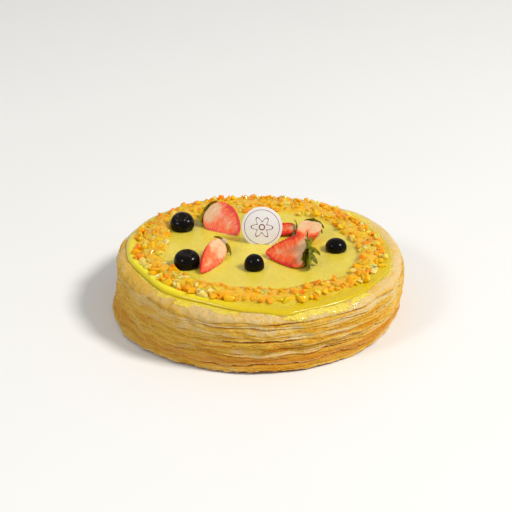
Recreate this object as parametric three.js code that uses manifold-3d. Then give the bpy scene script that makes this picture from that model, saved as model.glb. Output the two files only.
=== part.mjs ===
// A round crepe cake: stacked crepes that show as wavy bands at the side, a thin fruit glaze with a ring
// of chopped fruit, blueberries, cut strawberries with their leaves, and a round card badge standing in
// the glaze.
// Millimetres, +Z up, origin at the centre of the base.
import * as THREE from 'three';
import { mergeVertices } from 'three/addons/utils/BufferGeometryUtils.js';
import Module from 'manifold-3d';

// ---------------------------------------------------------------- driving dimensions
const CAKE_RADIUS = 100;          // wall of the stack at half height
const CREPE_TOP = 39.3;           // flat top of the last crepe
const GLAZE_TOP = 41.4;           // glaze surface inside its rim
const GLAZE_RADIUS = 91.6;        // mean radius of the glaze
const LEAN = 2.9;                 // the stack stands this much further to +X at the top than at the base
const CLEARANCE = 0.3;            // gap between neighbouring pieces
const RING_INNER = 67;            // band of chopped fruit on the glaze
const RING_OUTER = 87.5;
const TAU = Math.PI * 2;

// Lower edge of each band at the wall, from the base up, and how far each band stands out past the wall
// radius.
const LIP_HEIGHTS = [1.4, 6.8, 12.2, 15.4, 19.2, 22.8, 26.3, 31.6, 35.2];
const LIP_REACH = [1.6, 1.2, 0.6, 0.1, 0.9, 0.3, 0.8, 0.2, -0.9];
const OVERLAP = 1.5;              // a crepe's edge hangs this far below the layer it lies on
const LIP_THICKNESS = 1.5;        // thickness of the hanging edge
const SHARED_WAVE = 0.5;          // height of the wave that all edges share
const EDGE_WAVE = 0.2;            // height of each edge's own wave, as a share of the room it has
const EDGE_FLARE = 0.3;           // a hanging edge turns out by this much
const FOOT_RADIUS = 96.5;         // flat face under the first crepe
const FOOT_WAVE = 0.35;           // height of the wave in the lowest edge
const WALL_SHARED = 0.5;          // how far the wave that all bands share moves the wall in and out
const WALL_WAVE = 0.55;           // how far each band's own wave does
// The wall is not quite round: angle in degrees, width in degrees, and how far each band stands out there.
const WALL_LOBES = [
  { middle: -12, width: 28, reach: [-0.4, 0.6, 1.6, 2.1, 2.1, 2.1, 1.9, 1.5, 0.9] },
  { middle: 180, width: 26, reach: [-2.5, -3.1, -3.6, -3.9, -4.1, -4.0, -3.6, -2.9, -1.9] },
  { middle: -140, width: 14, reach: [2.6, 1.6, 0.8, 0.3, 0, 0, 0, 0, 0] },
  { middle: -52, width: 22, reach: [-1.5, -1.1, -0.6, -0.2, 0, 0, 0, 0, 0] },
];
const THICK_BAND = 4.5;           // bands higher than this swell in the middle
const SHOULDER_WIDTH = 7.2;       // rounding of the last crepe, from wall to flat top
const SHOULDER_START = 0.8;       // height above its edge where that rounding starts

const COLOURS = {
  crepe: 0xe2c48a, crepeDark: 0xd2a661, glaze: 0xe8d03c, blueberry: 0x14141c,
  strawberry: 0xe8573a, leaf: 0x55701e, badge: 0xe9e8e6,
};

const wasm = await Module();
wasm.setup();

// ---------------------------------------------------------------- helpers
function seededRandom(seed) {
  let state = seed;
  return () => {
    state = (state + 0x6d2b79f5) | 0;
    let mixed = Math.imul(state ^ (state >>> 15), 1 | state);
    mixed = (mixed + Math.imul(mixed ^ (mixed >>> 7), 61 | mixed)) ^ mixed;
    return ((mixed ^ (mixed >>> 14)) >>> 0) / 4294967296;
  };
}

// A smooth closed wave in the angle, between about -1 and 1.
function closedWave(seed, lowest, highest) {
  const random = seededRandom(seed);
  const terms = [];
  let power = 0;
  for (let cycles = lowest; cycles <= highest; cycles += 1) {
    const height = 1 / Math.sqrt(cycles);
    terms.push({ cycles, height, phase: random() * TAU });
    power += height * height;
  }
  const scale = 1 / Math.sqrt(power);
  return (angle) => scale * terms.reduce(
    (sum, term) => sum + term.height * Math.cos(term.cycles * angle + term.phase), 0);
}

// A smooth bump in the angle, 1 at its middle.
function bump(angle, middle, width) {
  const offset = Math.atan2(Math.sin(angle - middle), Math.cos(angle - middle));
  return Math.exp(-((offset / width) ** 2));
}

const degrees = (angle) => THREE.MathUtils.degToRad(angle);

// A length that is larger or smaller in places: each lobe is its middle in degrees, reach and width in degrees.
const shaped = (length, lobes, angle) => lobes.reduce(
  (sum, [middle, reach, width]) => sum + reach * bump(angle, degrees(middle), degrees(width)), length);

// Shared vertices are merged and triangles of no area are dropped.
function welded(geometry, tolerance = 1e-4) {
  const bare = geometry.clone();
  bare.deleteAttribute('normal');
  bare.deleteAttribute('uv');
  const merged = mergeVertices(bare, tolerance);
  const kept = [];
  const index = merged.getIndex().array;
  for (let corner = 0; corner < index.length; corner += 3) {
    const [a, b, c] = index.slice(corner, corner + 3);
    if (a !== b && b !== c && c !== a) kept.push(a, b, c);
  }
  merged.setIndex(kept);
  return merged;
}

function toSolid(geometry) {
  const merged = welded(geometry);
  return new wasm.Manifold(new wasm.Mesh({
    numProp: 3,
    vertProperties: new Float32Array(merged.getAttribute('position').array),
    triVerts: new Uint32Array(merged.getIndex().array),
  }));
}

function toGeometry(solid) {
  const mesh = solid.getMesh();
  const geometry = new THREE.BufferGeometry();
  geometry.setAttribute('position', new THREE.BufferAttribute(new Float32Array(mesh.vertProperties), 3));
  geometry.setIndex(Array.from(mesh.triVerts));
  return geometry;
}

function placed(solid, matrix) {
  return toSolid(toGeometry(solid).applyMatrix4(matrix));
}

// A round body whose outline may change with the angle: ringAt(row, angle) gives [radius, height] of each
// row, from the middle of the underside to the middle of the top.
function turnedBody(rows, segments, ringAt, centreAt = () => [0, 0]) {
  const outline = Array.from({ length: rows }, (_, row) => new THREE.Vector2(row, row));
  const geometry = new THREE.LatheGeometry(outline, segments);
  const position = geometry.getAttribute('position');
  for (let vertex = 0; vertex < position.count; vertex += 1) {
    const row = vertex % rows;
    const angle = (Math.floor(vertex / rows) % segments) * TAU / segments;
    const [radius, height] = ringAt(row, angle);
    const [x, y] = centreAt(height);
    position.setXYZ(vertex, x + radius * Math.cos(angle), y + radius * Math.sin(angle), height);
  }
  return geometry;
}

// The stack leans: the middle of each level moves from -X at the base to +X at the top.
const stackCentre = (height) => [LEAN * (Math.min(height, CREPE_TOP) / CREPE_TOP - 0.5), 0];

// A large block whose underside is at the given height, to keep only what is above it.
function spaceAbove(height) {
  const side = 300;
  return toSolid(new THREE.BoxGeometry(side, side, side).translate(0, 0, height + side / 2));
}

// ---------------------------------------------------------------- crepes
const CREPE_SEGMENTS = 48;
const sharedWave = closedWave(11, 2, 6);
const edgeWaves = LIP_HEIGHTS.map((_, layer) => closedWave(40 + layer, 2, 13));
const wallWaves = LIP_HEIGHTS.map((_, layer) => closedWave(80 + layer, 2, 9));

// Height of the hanging edge of a layer, wavy, but with room left for each band.
function lipHeight(layer, angle) {
  if (layer >= LIP_HEIGHTS.length) return CREPE_TOP;
  if (layer === 0) return LIP_HEIGHTS[0] + FOOT_WAVE * edgeWaves[0](angle);
  const below = LIP_HEIGHTS[layer] - LIP_HEIGHTS[layer - 1];
  const above = (LIP_HEIGHTS[layer + 1] ?? CREPE_TOP) - LIP_HEIGHTS[layer];
  const room = Math.min(below, above);
  return LIP_HEIGHTS[layer] + SHARED_WAVE * sharedWave(angle) + EDGE_WAVE * room * edgeWaves[layer](angle);
}

function wallRadius(layer, angle) {
  const lobes = WALL_LOBES.map(({ middle, width, reach }) => [middle, reach[layer], width]);
  return shaped(CAKE_RADIUS + LIP_REACH[layer], lobes, angle)
    + WALL_SHARED * sharedWave(angle) + WALL_WAVE * wallWaves[layer](angle);
}

// The part of a layer that the next edge covers stands back behind that edge.
const coveredRadius = (layer, angle) =>
  Math.min(wallRadius(layer, angle), wallRadius(layer + 1, angle)) - LIP_THICKNESS;

// Two neighbouring layers meet on this surface: level in the middle, and as wavy as the edge at the wall.
const layerFloor = (layer) => (layer === 0 ? 0 : LIP_HEIGHTS[layer] + OVERLAP);
const floorAtWall = (layer, angle) => (layer === 0 ? 0 : lipHeight(layer, angle) + OVERLAP);

// Rows of one crepe layer: level underside, hanging edge, wall, and the part that the next edge covers.
function crepeRows(layer, angle) {
  const isTop = layer === LIP_HEIGHTS.length - 1;
  const wall = wallRadius(layer, angle);
  const lip = lipHeight(layer, angle);
  const next = lipHeight(layer + 1, angle);
  const gap = layer === 0 ? 0 : CLEARANCE;
  const rows = [[0, layerFloor(layer) + gap]];
  if (layer === 0) {
    rows.push([FOOT_RADIUS, 0], [wall - 0.6, lip]);
  } else {
    const inside = coveredRadius(layer - 1, angle) + CLEARANCE;
    rows.push([inside, floorAtWall(layer, angle) + gap], [inside + 0.2, lip]);
    rows.push([wall + EDGE_FLARE, lip + 0.35]);
  }
  if (isTop) {
    for (const turn of [0.12, 0.4, 0.72]) {
      const along = turn * Math.PI / 2;
      rows.push([
        wall - SHOULDER_WIDTH * (1 - Math.cos(along)),
        lip + SHOULDER_START + (CREPE_TOP - lip - SHOULDER_START) * Math.sin(along),
      ]);
    }
    rows.push([wall - SHOULDER_WIDTH, CREPE_TOP], [0, CREPE_TOP]);
    return rows;
  }
  const edge = next - CLEARANCE;
  if (LIP_HEIGHTS[layer + 1] - LIP_HEIGHTS[layer] > THICK_BAND) rows.push([wall + 0.1, (lip + edge) / 2]);
  const covered = coveredRadius(layer, angle);
  rows.push([wall - 0.5, edge - 0.25], [covered, edge], [covered, floorAtWall(layer + 1, angle)]);
  rows.push([0, layerFloor(layer + 1)]);
  return rows;
}

function crepeGeometry(layer) {
  const rowCount = crepeRows(layer, 0).length;
  return turnedBody(rowCount, CREPE_SEGMENTS, (row, angle) => crepeRows(layer, angle)[row], stackCentre);
}

// ---------------------------------------------------------------- toppings: blueberries
// Place of each berry, its half width, its half height, and how high its middle is above the glaze.
const BERRIES = [
  { at: [-53.8, 31.5], radius: 8.8, half: 6.4, rise: 3.7, crown: [-0.10, -0.35] },
  { at: [-47.6, -28.8], radius: 8.9, half: 6.4, rise: 3.7, crown: [-0.05, -0.12] },
  { at: [-2.1, -31.6], radius: 7.0, half: 5.9, rise: 4.2, crown: null },
  { at: [54.6, -1.6], radius: 7.6, half: 5.4, rise: 2.8, crown: null },
];
const SEAT = 1.0;                 // depth of the seats pressed into the glaze
const BERRY_SEGMENTS = 16;
const CROWN_POINTS = 5;

// A berry is a flattened ball; its blossom end is a five-pointed rim around a shallow cup.
function berryRows(berry, angle) {
  const rows = [[0, -berry.half]];
  const lastTurn = berry.crown ? 0.78 : 1;
  const steps = 7;
  for (let step = 1; step < steps; step += 1) {
    const turn = -Math.PI / 2 + (step / steps) * Math.PI * (0.5 + lastTurn / 2);
    rows.push([berry.radius * Math.cos(turn), berry.half * Math.sin(turn)]);
  }
  if (berry.crown) {
    const star = 0.5 + 0.5 * Math.cos(CROWN_POINTS * angle);
    const rim = berry.radius * (0.30 + 0.09 * star);
    rows.push([rim, berry.half * (1.0 + 0.05 * star)], [rim * 0.72, berry.half * 0.96], [0, berry.half * 0.8]);
  } else {
    rows.push([0, berry.half]);
  }
  return rows;
}

function berryGeometry(berry, grown = 0) {
  const body = { ...berry, radius: berry.radius + grown, half: berry.half + grown };
  const rowCount = berryRows(body, 0).length;
  const geometry = turnedBody(rowCount, BERRY_SEGMENTS, (row, angle) => berryRows(body, angle)[row]);
  if (berry.crown) {
    const [tiltX, tiltY] = berry.crown;
    geometry.applyMatrix4(new THREE.Matrix4().makeRotationFromEuler(new THREE.Euler(-tiltY, tiltX, 0)));
  }
  return geometry.translate(berry.at[0], berry.at[1], GLAZE_TOP + berry.rise);
}

const berrySolid = (berry) => toSolid(berryGeometry(berry)).intersect(spaceAbove(GLAZE_TOP - SEAT));
const berrySeat = (berry) =>
  toSolid(berryGeometry(berry, CLEARANCE)).intersect(spaceAbove(GLAZE_TOP - SEAT - CLEARANCE));

// ---------------------------------------------------------------- toppings: strawberries
// Each piece is half a berry. hull and tip are the ends of its axis on the cut face, facing is the side the
// cut face looks to, width is the full width, widest is where that is along the axis, and taper shapes the
// tip end.
const STRAWBERRIES = [
  { hull: [-36.0, 40.0, 53.0], tip: [-13.1, 19.9, 43.2], facing: [-0.31, -0.70, 0.64],
    width: 24.6, depth: 11.5, widest: 0.41, taper: 0.66 },
  { hull: [-23.6, -10.0, 50.4], tip: [-37.4, -42.3, 43.2], facing: [0.66, -0.38, 0.64],
    width: 15.4, depth: 7.2, widest: 0.36, taper: 0.65 },
  { hull: [32.9, -25.2, 52.2], tip: [5.6, -13.3, 44.6], facing: [-0.43, -0.48, 0.77],
    width: 25.6, depth: 10.5, widest: 0.20, taper: 0.6 },
  { hull: [39.2, 21.6, 52.4], tip: [28.8, -3.4, 44.6], facing: [-0.20, -0.48, 0.86],
    width: 16.8, depth: 9.0, widest: 0.26, taper: 0.65 },
  { hull: [27.0, 21.6, 47.4], tip: [2.5, 23.4, 44.4], facing: [-0.05, -0.42, 0.90],
    width: 10.6, depth: 6.0, widest: 0.35, taper: 0.7 },
];
const FRUIT_SEGMENTS = 20;
const FRUIT_STEPS = 11;
const SHOULDER_FULLNESS = 0.5;    // below 1 makes the hull end broad

// Moves a piece from its own axes (X along the berry, Z out of the cut face) to its place on the cake.
function fruitMatrix(piece) {
  const hull = new THREE.Vector3(...piece.hull);
  const along = new THREE.Vector3(...piece.tip).sub(hull).normalize();
  const across = new THREE.Vector3(...piece.facing).cross(along).normalize();
  const facing = new THREE.Vector3().crossVectors(along, across);
  return new THREE.Matrix4().makeBasis(along, across, facing).setPosition(hull);
}

function fruitHalfWidth(piece, along) {
  const bend = Math.log(0.5) / Math.log(piece.widest);
  const power = along < piece.widest ? SHOULDER_FULLNESS : piece.taper;
  return 0.5 * piece.width * Math.sin(Math.PI * along ** bend) ** power;
}

function fruitLength(piece) {
  return new THREE.Vector3(...piece.tip).distanceTo(new THREE.Vector3(...piece.hull));
}

function strawberrySolid(piece) {
  const length = fruitLength(piece);
  const rowCount = FRUIT_STEPS + 1;
  const whole = turnedBody(rowCount, FRUIT_SEGMENTS, (row) => {
    if (row === 0) return [0, 0];
    if (row === FRUIT_STEPS) return [0, length];
    const along = (row / FRUIT_STEPS) ** 1.25;
    return [fruitHalfWidth(piece, along), length * along];
  });
  // The turned body stands on Z; it is laid along X, and flattened from its back.
  whole.rotateY(Math.PI / 2);
  whole.scale(1, 1, piece.depth / (0.5 * piece.width));
  const side = 80;
  const back = toSolid(new THREE.BoxGeometry(side, side, side).translate(0, 0, -side / 2));
  const half = toSolid(whole).intersect(back);
  return placed(half, fruitMatrix(piece)).intersect(spaceAbove(GLAZE_TOP + CLEARANCE));
}

// ---------------------------------------------------------------- toppings: leaves
// A leaf starts at the hull and runs out at an angle round the berry's axis (0 along the cut face, 90 out of
// it, -90 to the back). It leans back from the hull by lean degrees, curls, and comes to a point.
const LEAVES = [
  [
    { turn: 6, reach: 10.0, width: 4.4, lean: 4, curl: 0.10 },
    { turn: 176, reach: 10.5, width: 4.2, lean: 4, curl: 0.12 },
    { turn: -40, reach: 12.5, width: 4.4, lean: 12, curl: 0.10 },
    { turn: -140, reach: 14.0, width: 4.2, lean: 10, curl: 0.10 },
    { turn: -90, reach: 9.5, width: 4.4, lean: 16, curl: 0.10 },
  ],
  [
    { turn: 184, reach: 8.0, width: 2.8, lean: 8, curl: 0.10 },
    { turn: 0, reach: 9.0, width: 3.0, lean: 10, curl: 0.10 },
    { turn: -30, reach: 9.0, width: 3.0, lean: 24, curl: 0.10 },
    { turn: -100, reach: 6.5, width: 3.0, lean: 26, curl: 0.10 },
  ],
  [
    { turn: 176, reach: 12.0, width: 4.6, lean: 12, curl: 0.12 },
    { turn: 142, reach: 12.6, width: 2.6, lean: 8, curl: 0.04 },
    { turn: 60, reach: 5.5, width: 4.6, lean: 40, curl: 0.14 },
    { turn: 12, reach: 11.0, width: 5.4, lean: 30, curl: 0.12 },
    { turn: -14, reach: 13.5, width: 5.6, lean: 12, curl: 0.12 },
    { turn: -60, reach: 9.0, width: 5.0, lean: 30, curl: 0.10 },
    { turn: -130, reach: 11.0, width: 4.6, lean: 34, curl: 0.10 },
  ],
  [
    { turn: -12, reach: 8.5, width: 3.6, lean: 6, curl: 0.10 },
    { turn: 192, reach: 8.0, width: 3.4, lean: 10, curl: 0.10 },
    { turn: -50, reach: 9.5, width: 3.6, lean: 12, curl: 0.10 },
    { turn: -110, reach: 7.0, width: 3.6, lean: 20, curl: 0.10 },
  ],
  [
    { turn: 6, reach: 5.0, width: 2.8, lean: 4, curl: 0.10 },
    { turn: 150, reach: 6.0, width: 3.2, lean: 5, curl: 0.10 },
  ],
];
const LEAF_THICKNESS = 0.5;
const LEAF_STEPS = 4;
const LEAF_START = 0.8;           // leaves start this far from the berry's axis
const LEAF_SETBACK = 0.15;        // and this much further back than the clearance behind the hull
const STUB_RADIUS = 2.2;          // cut stalk that the leaves grow from
const STUB_LENGTH = 1.0;

// A thin wavy blade: a grid of cells on its upper and its lower face, split alike, closed by a rim.
function leafGeometry(leaf) {
  const across = 2;
  const columns = across + 1;
  const lean = THREE.MathUtils.degToRad(leaf.lean);
  const turn = THREE.MathUtils.degToRad(leaf.turn);
  const outward = new THREE.Vector3(0, Math.cos(turn), Math.sin(turn));
  const sideways = new THREE.Vector3(0, -Math.sin(turn), Math.cos(turn));
  const corners = [];
  for (const face of [0, 1]) {
    for (let step = 0; step <= LEAF_STEPS; step += 1) {
      const t = step / LEAF_STEPS;
      const halfWidth = leaf.width * (0.16 + 0.84 * Math.sin(Math.PI * (0.12 + 0.86 * t)) ** 0.8) / 2;
      const run = LEAF_START + leaf.reach * t;
      const back = run * Math.tan(lean) * (1 - leaf.curl * t) + 0.35 * Math.sin(9 * t) ** 2;
      for (let column = 0; column < columns; column += 1) {
        const side = column - across / 2;
        const cup = 0.35 * side * side;
        corners.push(new THREE.Vector3()
          .addScaledVector(outward, run)
          .addScaledVector(sideways, side * halfWidth)
          .add(new THREE.Vector3(-CLEARANCE - LEAF_SETBACK - back - cup - face * LEAF_THICKNESS, 0, 0)));
      }
    }
  }
  const perFace = columns * (LEAF_STEPS + 1);
  const corner = (face, step, column) => face * perFace + step * columns + column;
  const index = [];
  const quad = (a, b, c, d) => index.push(a, b, c, a, c, d);
  for (let step = 0; step < LEAF_STEPS; step += 1) {
    for (let column = 0; column < across; column += 1) {
      const upper = [[step, column], [step, column + 1], [step + 1, column + 1], [step + 1, column]]
        .map(([s, c]) => corner(0, s, c));
      const lower = upper.map((value) => value + perFace);
      quad(upper[3], upper[2], upper[1], upper[0]);
      index.push(lower[0], lower[1], lower[3], lower[1], lower[2], lower[3]);
    }
    quad(corner(0, step, 0), corner(1, step, 0), corner(1, step + 1, 0), corner(0, step + 1, 0));
    quad(corner(0, step + 1, across), corner(1, step + 1, across),
      corner(1, step, across), corner(0, step, across));
  }
  for (let column = 0; column < across; column += 1) {
    quad(corner(0, 0, column + 1), corner(1, 0, column + 1), corner(1, 0, column), corner(0, 0, column));
    quad(corner(0, LEAF_STEPS, column), corner(1, LEAF_STEPS, column),
      corner(1, LEAF_STEPS, column + 1), corner(0, LEAF_STEPS, column + 1));
  }
  const geometry = new THREE.BufferGeometry();
  geometry.setAttribute('position', new THREE.Float32BufferAttribute(corners.flatMap((p) => p.toArray()), 3));
  geometry.setIndex(index);
  return geometry;
}

// The leaves of one berry and the stub they grow from.
function leavesSolid(piece, leaves) {
  const stub = new THREE.CylinderGeometry(STUB_RADIUS, STUB_RADIUS, STUB_LENGTH, 10)
    .rotateZ(Math.PI / 2)
    .translate(-CLEARANCE - LEAF_SETBACK - STUB_LENGTH / 2, 0, 0);
  let solid = toSolid(stub);
  for (const leaf of leaves) solid = solid.add(toSolid(leafGeometry(leaf)));
  return placed(solid, fruitMatrix(piece)).intersect(spaceAbove(GLAZE_TOP + CLEARANCE));
}

// ---------------------------------------------------------------- badge
// The card leans back from upright and is turned about the vertical, both in degrees.
const BADGE = { at: [3.1, 9.6, 53.0], radius: 14.3, thickness: 1.1, leanBack: 14, turn: -4 };
const BADGE_SEGMENTS = 40;

function badgeGeometry(grown = 0) {
  const radius = BADGE.radius + grown;
  return new THREE.CylinderGeometry(radius, radius, BADGE.thickness + 2 * grown, BADGE_SEGMENTS)
    .rotateX(-THREE.MathUtils.degToRad(BADGE.leanBack))
    .rotateZ(THREE.MathUtils.degToRad(BADGE.turn))
    .translate(...BADGE.at);
}

// ---------------------------------------------------------------- glaze with chopped fruit
const GLAZE_SEGMENTS = 60;
const BITS = 100;                 // pieces of chopped fruit large enough to stand out of the glaze
const BIT_SIZES = [3.8, 5.8];
const LANES = 4;                  // rows of pieces across the ring
const LANE_STRIDE = 3;            // neighbours round the ring are this many lanes apart
const BIT_DEPTH = 1.0;            // how deep the pieces reach into the glaze

// Where the glaze ran further out or stopped short: angle in degrees, extra radius, width in degrees.
const RUNS = [
  [-80, 3.0, 6], [-68, 1.6, 30], [-45, 0.8, 12], [-14, 1.2, 16], [30, -1.8, 18], [62, 1.8, 11],
  [124, 3.4, 12], [150, 3.2, 12], [170, 2.4, 10], [-170, 0.9, 10], [-150, -3.4, 16], [-114, -4.0, 15],
];
// The same for the inner and the outer edge of the ring of chopped fruit.
const INNER_LOBES = [
  [-95, -1.2, 25], [-33, 7.0, 16], [-8, 3.0, 12], [90, -3.0, 30], [150, 5.0, 12], [-155, 3.0, 12], [-130, 1.0, 12],
];
const OUTER_LOBES = [[-100, -7.2, 40], [-52, -4.5, 14]];
const RING_RIPPLE = 0.8;
const RIM_ROOM = 5.5;             // room kept between the chopped fruit and the edge of the glaze

const glazeRadius = (angle) => shaped(GLAZE_RADIUS, RUNS, angle);

// Height of the last crepe's shoulder under a point of the glaze.
function shoulderHeight(radius, angle) {
  const layer = LIP_HEIGHTS.length - 1;
  const start = wallRadius(layer, angle) - SHOULDER_WIDTH;
  const foot = lipHeight(layer, angle) + SHOULDER_START;
  const sideways = THREE.MathUtils.clamp((radius - start) / SHOULDER_WIDTH, 0, 0.95);
  return foot + (CREPE_TOP - foot) * Math.sqrt(1 - sideways * sideways);
}

function glazeRows(angle) {
  const edge = glazeRadius(angle);
  const hang = Math.min(shoulderHeight(edge, angle), CREPE_TOP) + CLEARANCE + 0.4;
  return [
    [0, CREPE_TOP + CLEARANCE],
    [Math.min(88, edge - 3), CREPE_TOP + CLEARANCE],
    [edge - 0.9, hang],
    [edge, hang + 0.9],
    [edge - 0.9, hang + 2.1],
    [edge - 3.2, Math.max(hang + 2.4, GLAZE_TOP + 0.5)],
    [edge - 7.5, GLAZE_TOP],
    [0, GLAZE_TOP],
  ];
}

// Keeps the chopped fruit away from the larger toppings.
function nearTopping(x, y, margin) {
  const nearBerry = BERRIES.some((berry) =>
    Math.hypot(x - berry.at[0], y - berry.at[1]) < berry.radius + margin);
  const nearFruit = STRAWBERRIES.some((piece) => [piece.hull, piece.tip].some((end) =>
    Math.hypot(x - end[0], y - end[1]) < 6 + margin));
  return nearBerry || nearFruit;
}

// One piece for each step round the ring, in lanes from the inside out, with ragged edges to the ring.
function chopped(step, random) {
  const angle = (step + 0.8 * random()) * TAU / BITS;
  const inner = shaped(RING_INNER, INNER_LOBES, angle) + RING_RIPPLE * Math.cos(9 * angle);
  const outer = Math.min(shaped(RING_OUTER, OUTER_LOBES, angle), glazeRadius(angle) - RIM_ROOM);
  const lane = ((step * LANE_STRIDE) % LANES + random()) / LANES;
  const radius = inner + (outer - inner) * lane;
  const size = BIT_SIZES[0] + (BIT_SIZES[1] - BIT_SIZES[0]) * random();
  const [centreX, centreY] = stackCentre(CREPE_TOP);
  const x = centreX + radius * Math.cos(angle);
  const y = centreY + radius * Math.sin(angle);
  return { x, y, size };
}

function bitGeometry(bit, random) {
  const long = bit.size * (0.85 + 0.3 * random());
  const wide = bit.size * (0.6 + 0.3 * random());
  const high = bit.size * (0.5 + 0.25 * random());
  return new THREE.BoxGeometry(long, wide, high)
    .rotateX(0.7 * (random() - 0.5))
    .rotateY(0.7 * (random() - 0.5))
    .rotateZ(random() * TAU)
    .translate(bit.x, bit.y, GLAZE_TOP + 0.18 * high + 0.5 * random());
}

function glazeSolid() {
  const body = turnedBody(glazeRows(0).length, GLAZE_SEGMENTS, (row, angle) => glazeRows(angle)[row],
    () => stackCentre(CREPE_TOP));
  let solid = toSolid(body);
  const random = seededRandom(7);
  const aboveFloor = spaceAbove(GLAZE_TOP - BIT_DEPTH);
  for (let step = 0; step < BITS; step += 1) {
    const bit = chopped(step, random);
    const shape = bitGeometry(bit, random);
    if (nearTopping(bit.x, bit.y, 0.75 * bit.size + 1)) continue;
    solid = solid.add(toSolid(shape).intersect(aboveFloor));
  }
  for (const berry of BERRIES) solid = solid.subtract(berrySeat(berry));
  return solid.subtract(toSolid(badgeGeometry(CLEARANCE)));
}

// ---------------------------------------------------------------- the cake
const cake = new THREE.Group();

function addPiece(name, geometry, colour, roughness) {
  const material = new THREE.MeshStandardMaterial({ color: colour, roughness, metalness: 0 });
  const mesh = new THREE.Mesh(geometry, material);
  mesh.name = name;
  cake.add(mesh);
}

LIP_HEIGHTS.forEach((_, layer) => {
  const isTop = layer === LIP_HEIGHTS.length - 1;
  const bare = crepeGeometry(layer);
  // The badge stands in a slot that goes through the glaze into the last crepe.
  const geometry = isTop
    ? toGeometry(toSolid(bare).subtract(toSolid(badgeGeometry(CLEARANCE))))
    : welded(bare);
  addPiece(`crepe_${layer + 1}`, geometry, layer % 2 ? COLOURS.crepeDark : COLOURS.crepe, 0.75);
});
addPiece('glaze', toGeometry(glazeSolid()), COLOURS.glaze, 0.25);
BERRIES.forEach((berry, index) => {
  addPiece(`blueberry_${index + 1}`, toGeometry(berrySolid(berry)), COLOURS.blueberry, 0.2);
});
STRAWBERRIES.forEach((piece, index) => {
  addPiece(`strawberry_${index + 1}`, toGeometry(strawberrySolid(piece)), COLOURS.strawberry, 0.4);
  addPiece(`strawberry_leaves_${index + 1}`, toGeometry(leavesSolid(piece, LEAVES[index])), COLOURS.leaf, 0.6);
});
addPiece('badge', welded(badgeGeometry()), COLOURS.badge, 0.5);

// The cake stands on z = 0 with its bounding box centred on the origin.
const bounds = new THREE.Box3().setFromObject(cake);
const middle = bounds.getCenter(new THREE.Vector3());
cake.position.set(-middle.x, -middle.y, -bounds.min.z);

export default cake;
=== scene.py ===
"""Looks of a round crepe cake: folded crepes, fruit glaze, chopped fruit, berries, leaves and a badge."""

import math

import bmesh
import bpy
from mathutils import Matrix, Vector, noise


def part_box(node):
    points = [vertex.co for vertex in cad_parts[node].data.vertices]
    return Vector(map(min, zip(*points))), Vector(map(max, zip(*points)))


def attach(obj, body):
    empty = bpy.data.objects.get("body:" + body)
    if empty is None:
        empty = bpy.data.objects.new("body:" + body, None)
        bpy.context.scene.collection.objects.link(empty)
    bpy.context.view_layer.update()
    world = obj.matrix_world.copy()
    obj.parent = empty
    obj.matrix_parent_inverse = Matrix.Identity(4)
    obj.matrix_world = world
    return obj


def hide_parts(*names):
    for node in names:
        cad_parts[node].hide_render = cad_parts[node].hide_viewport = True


bl_info = {
    "name": "Crepe cake",
    "version": (1, 0, 0),
    "blender": (4, 5, 0),
    "location": "View3D > Sidebar > Crepe cake",
    "description": "Builds the soft and shiny pieces of a crepe cake around its solids",
    "category": "Object",
}

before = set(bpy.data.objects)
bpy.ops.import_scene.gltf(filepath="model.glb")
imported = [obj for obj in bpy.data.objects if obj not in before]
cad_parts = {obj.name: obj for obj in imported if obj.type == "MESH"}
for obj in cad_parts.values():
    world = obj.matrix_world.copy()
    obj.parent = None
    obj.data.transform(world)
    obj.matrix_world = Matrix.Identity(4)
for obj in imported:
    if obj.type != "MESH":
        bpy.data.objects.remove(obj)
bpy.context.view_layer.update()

# ---------------------------------------------------------------- units and frame
MM = 0.001
TAU = 2 * math.pi
BODY = "root"

# The badge's nominal centre, in millimetres from the middle of the stack; the frame says where it really is.
BADGE_CENTRE = Vector((3.1, 9.6, 53.0))
BADGE_LOW, BADGE_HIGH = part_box("badge")
STACK_ORIGIN = (BADGE_LOW + BADGE_HIGH) / (2 * MM) - BADGE_CENTRE
PLACE = Matrix.Scale(MM, 4) @ Matrix.Translation(STACK_ORIGIN)

# ---------------------------------------------------------------- stack, in millimetres
CAKE_RADIUS = 100.0
CREPE_TOP = 39.3
LEAN = 2.9
# Each band's edge: its height, and how far it stands past the cake's radius.
LIP_HEIGHTS = (1.4, 6.8, 12.2, 15.4, 19.2, 22.8, 26.3, 31.6, 35.2)
LIP_REACH = (1.6, 1.2, 0.6, 0.1, 0.9, 0.3, 0.8, 0.2, -0.9)
TOP_BAND = len(LIP_HEIGHTS) - 1
# Waves of the edges' heights and of the wall: what all bands share, and what each has of its own.
SHARED_WAVE = 0.5
EDGE_WAVE = 0.2
FOOT_WAVE = 0.35
WALL_SHARED = 0.5
WALL_WAVE = 0.55
SHOULDER_WIDTH = 7.2
SHOULDER_START = 0.8
FOOT_RADIUS = 96.5
# The wall is not quite round: middle and width in degrees, and how far each band stands out there.
WALL_LOBES = (
    (-12, 28, (-0.4, 0.6, 1.6, 2.1, 2.1, 2.1, 1.9, 1.5, 0.9)),
    (180, 26, (-2.5, -3.1, -3.6, -3.9, -4.1, -4.0, -3.6, -2.9, -1.9)),
    (-140, 14, (2.6, 1.6, 0.8, 0.3, 0, 0, 0, 0, 0)),
    (-52, 22, (-1.5, -1.1, -0.6, -0.2, 0, 0, 0, 0, 0)),
)

SEGMENTS = 720
SPIN_CUTS = 12
CORE_SEGMENTS = 180
NOISE_STEP = 17.3
# Sheets in each band under the last, which is one crepe drawn over the top.
SHEETS = (3, 2, 2, 2, 2, 2, 2, 2)
MAIN_OVERHANG = 1.9
SUB_OVERHANG = 0.45
LIP_WANDER = 1.7
PLEAT = 0.2
WRINKLE = 0.16
WALL_SETBACK = 0.35
HIDDEN_RISE = 1.6
HIDDEN_SLOPE = 0.9
CORE_DEPTH = 3.9
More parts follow.
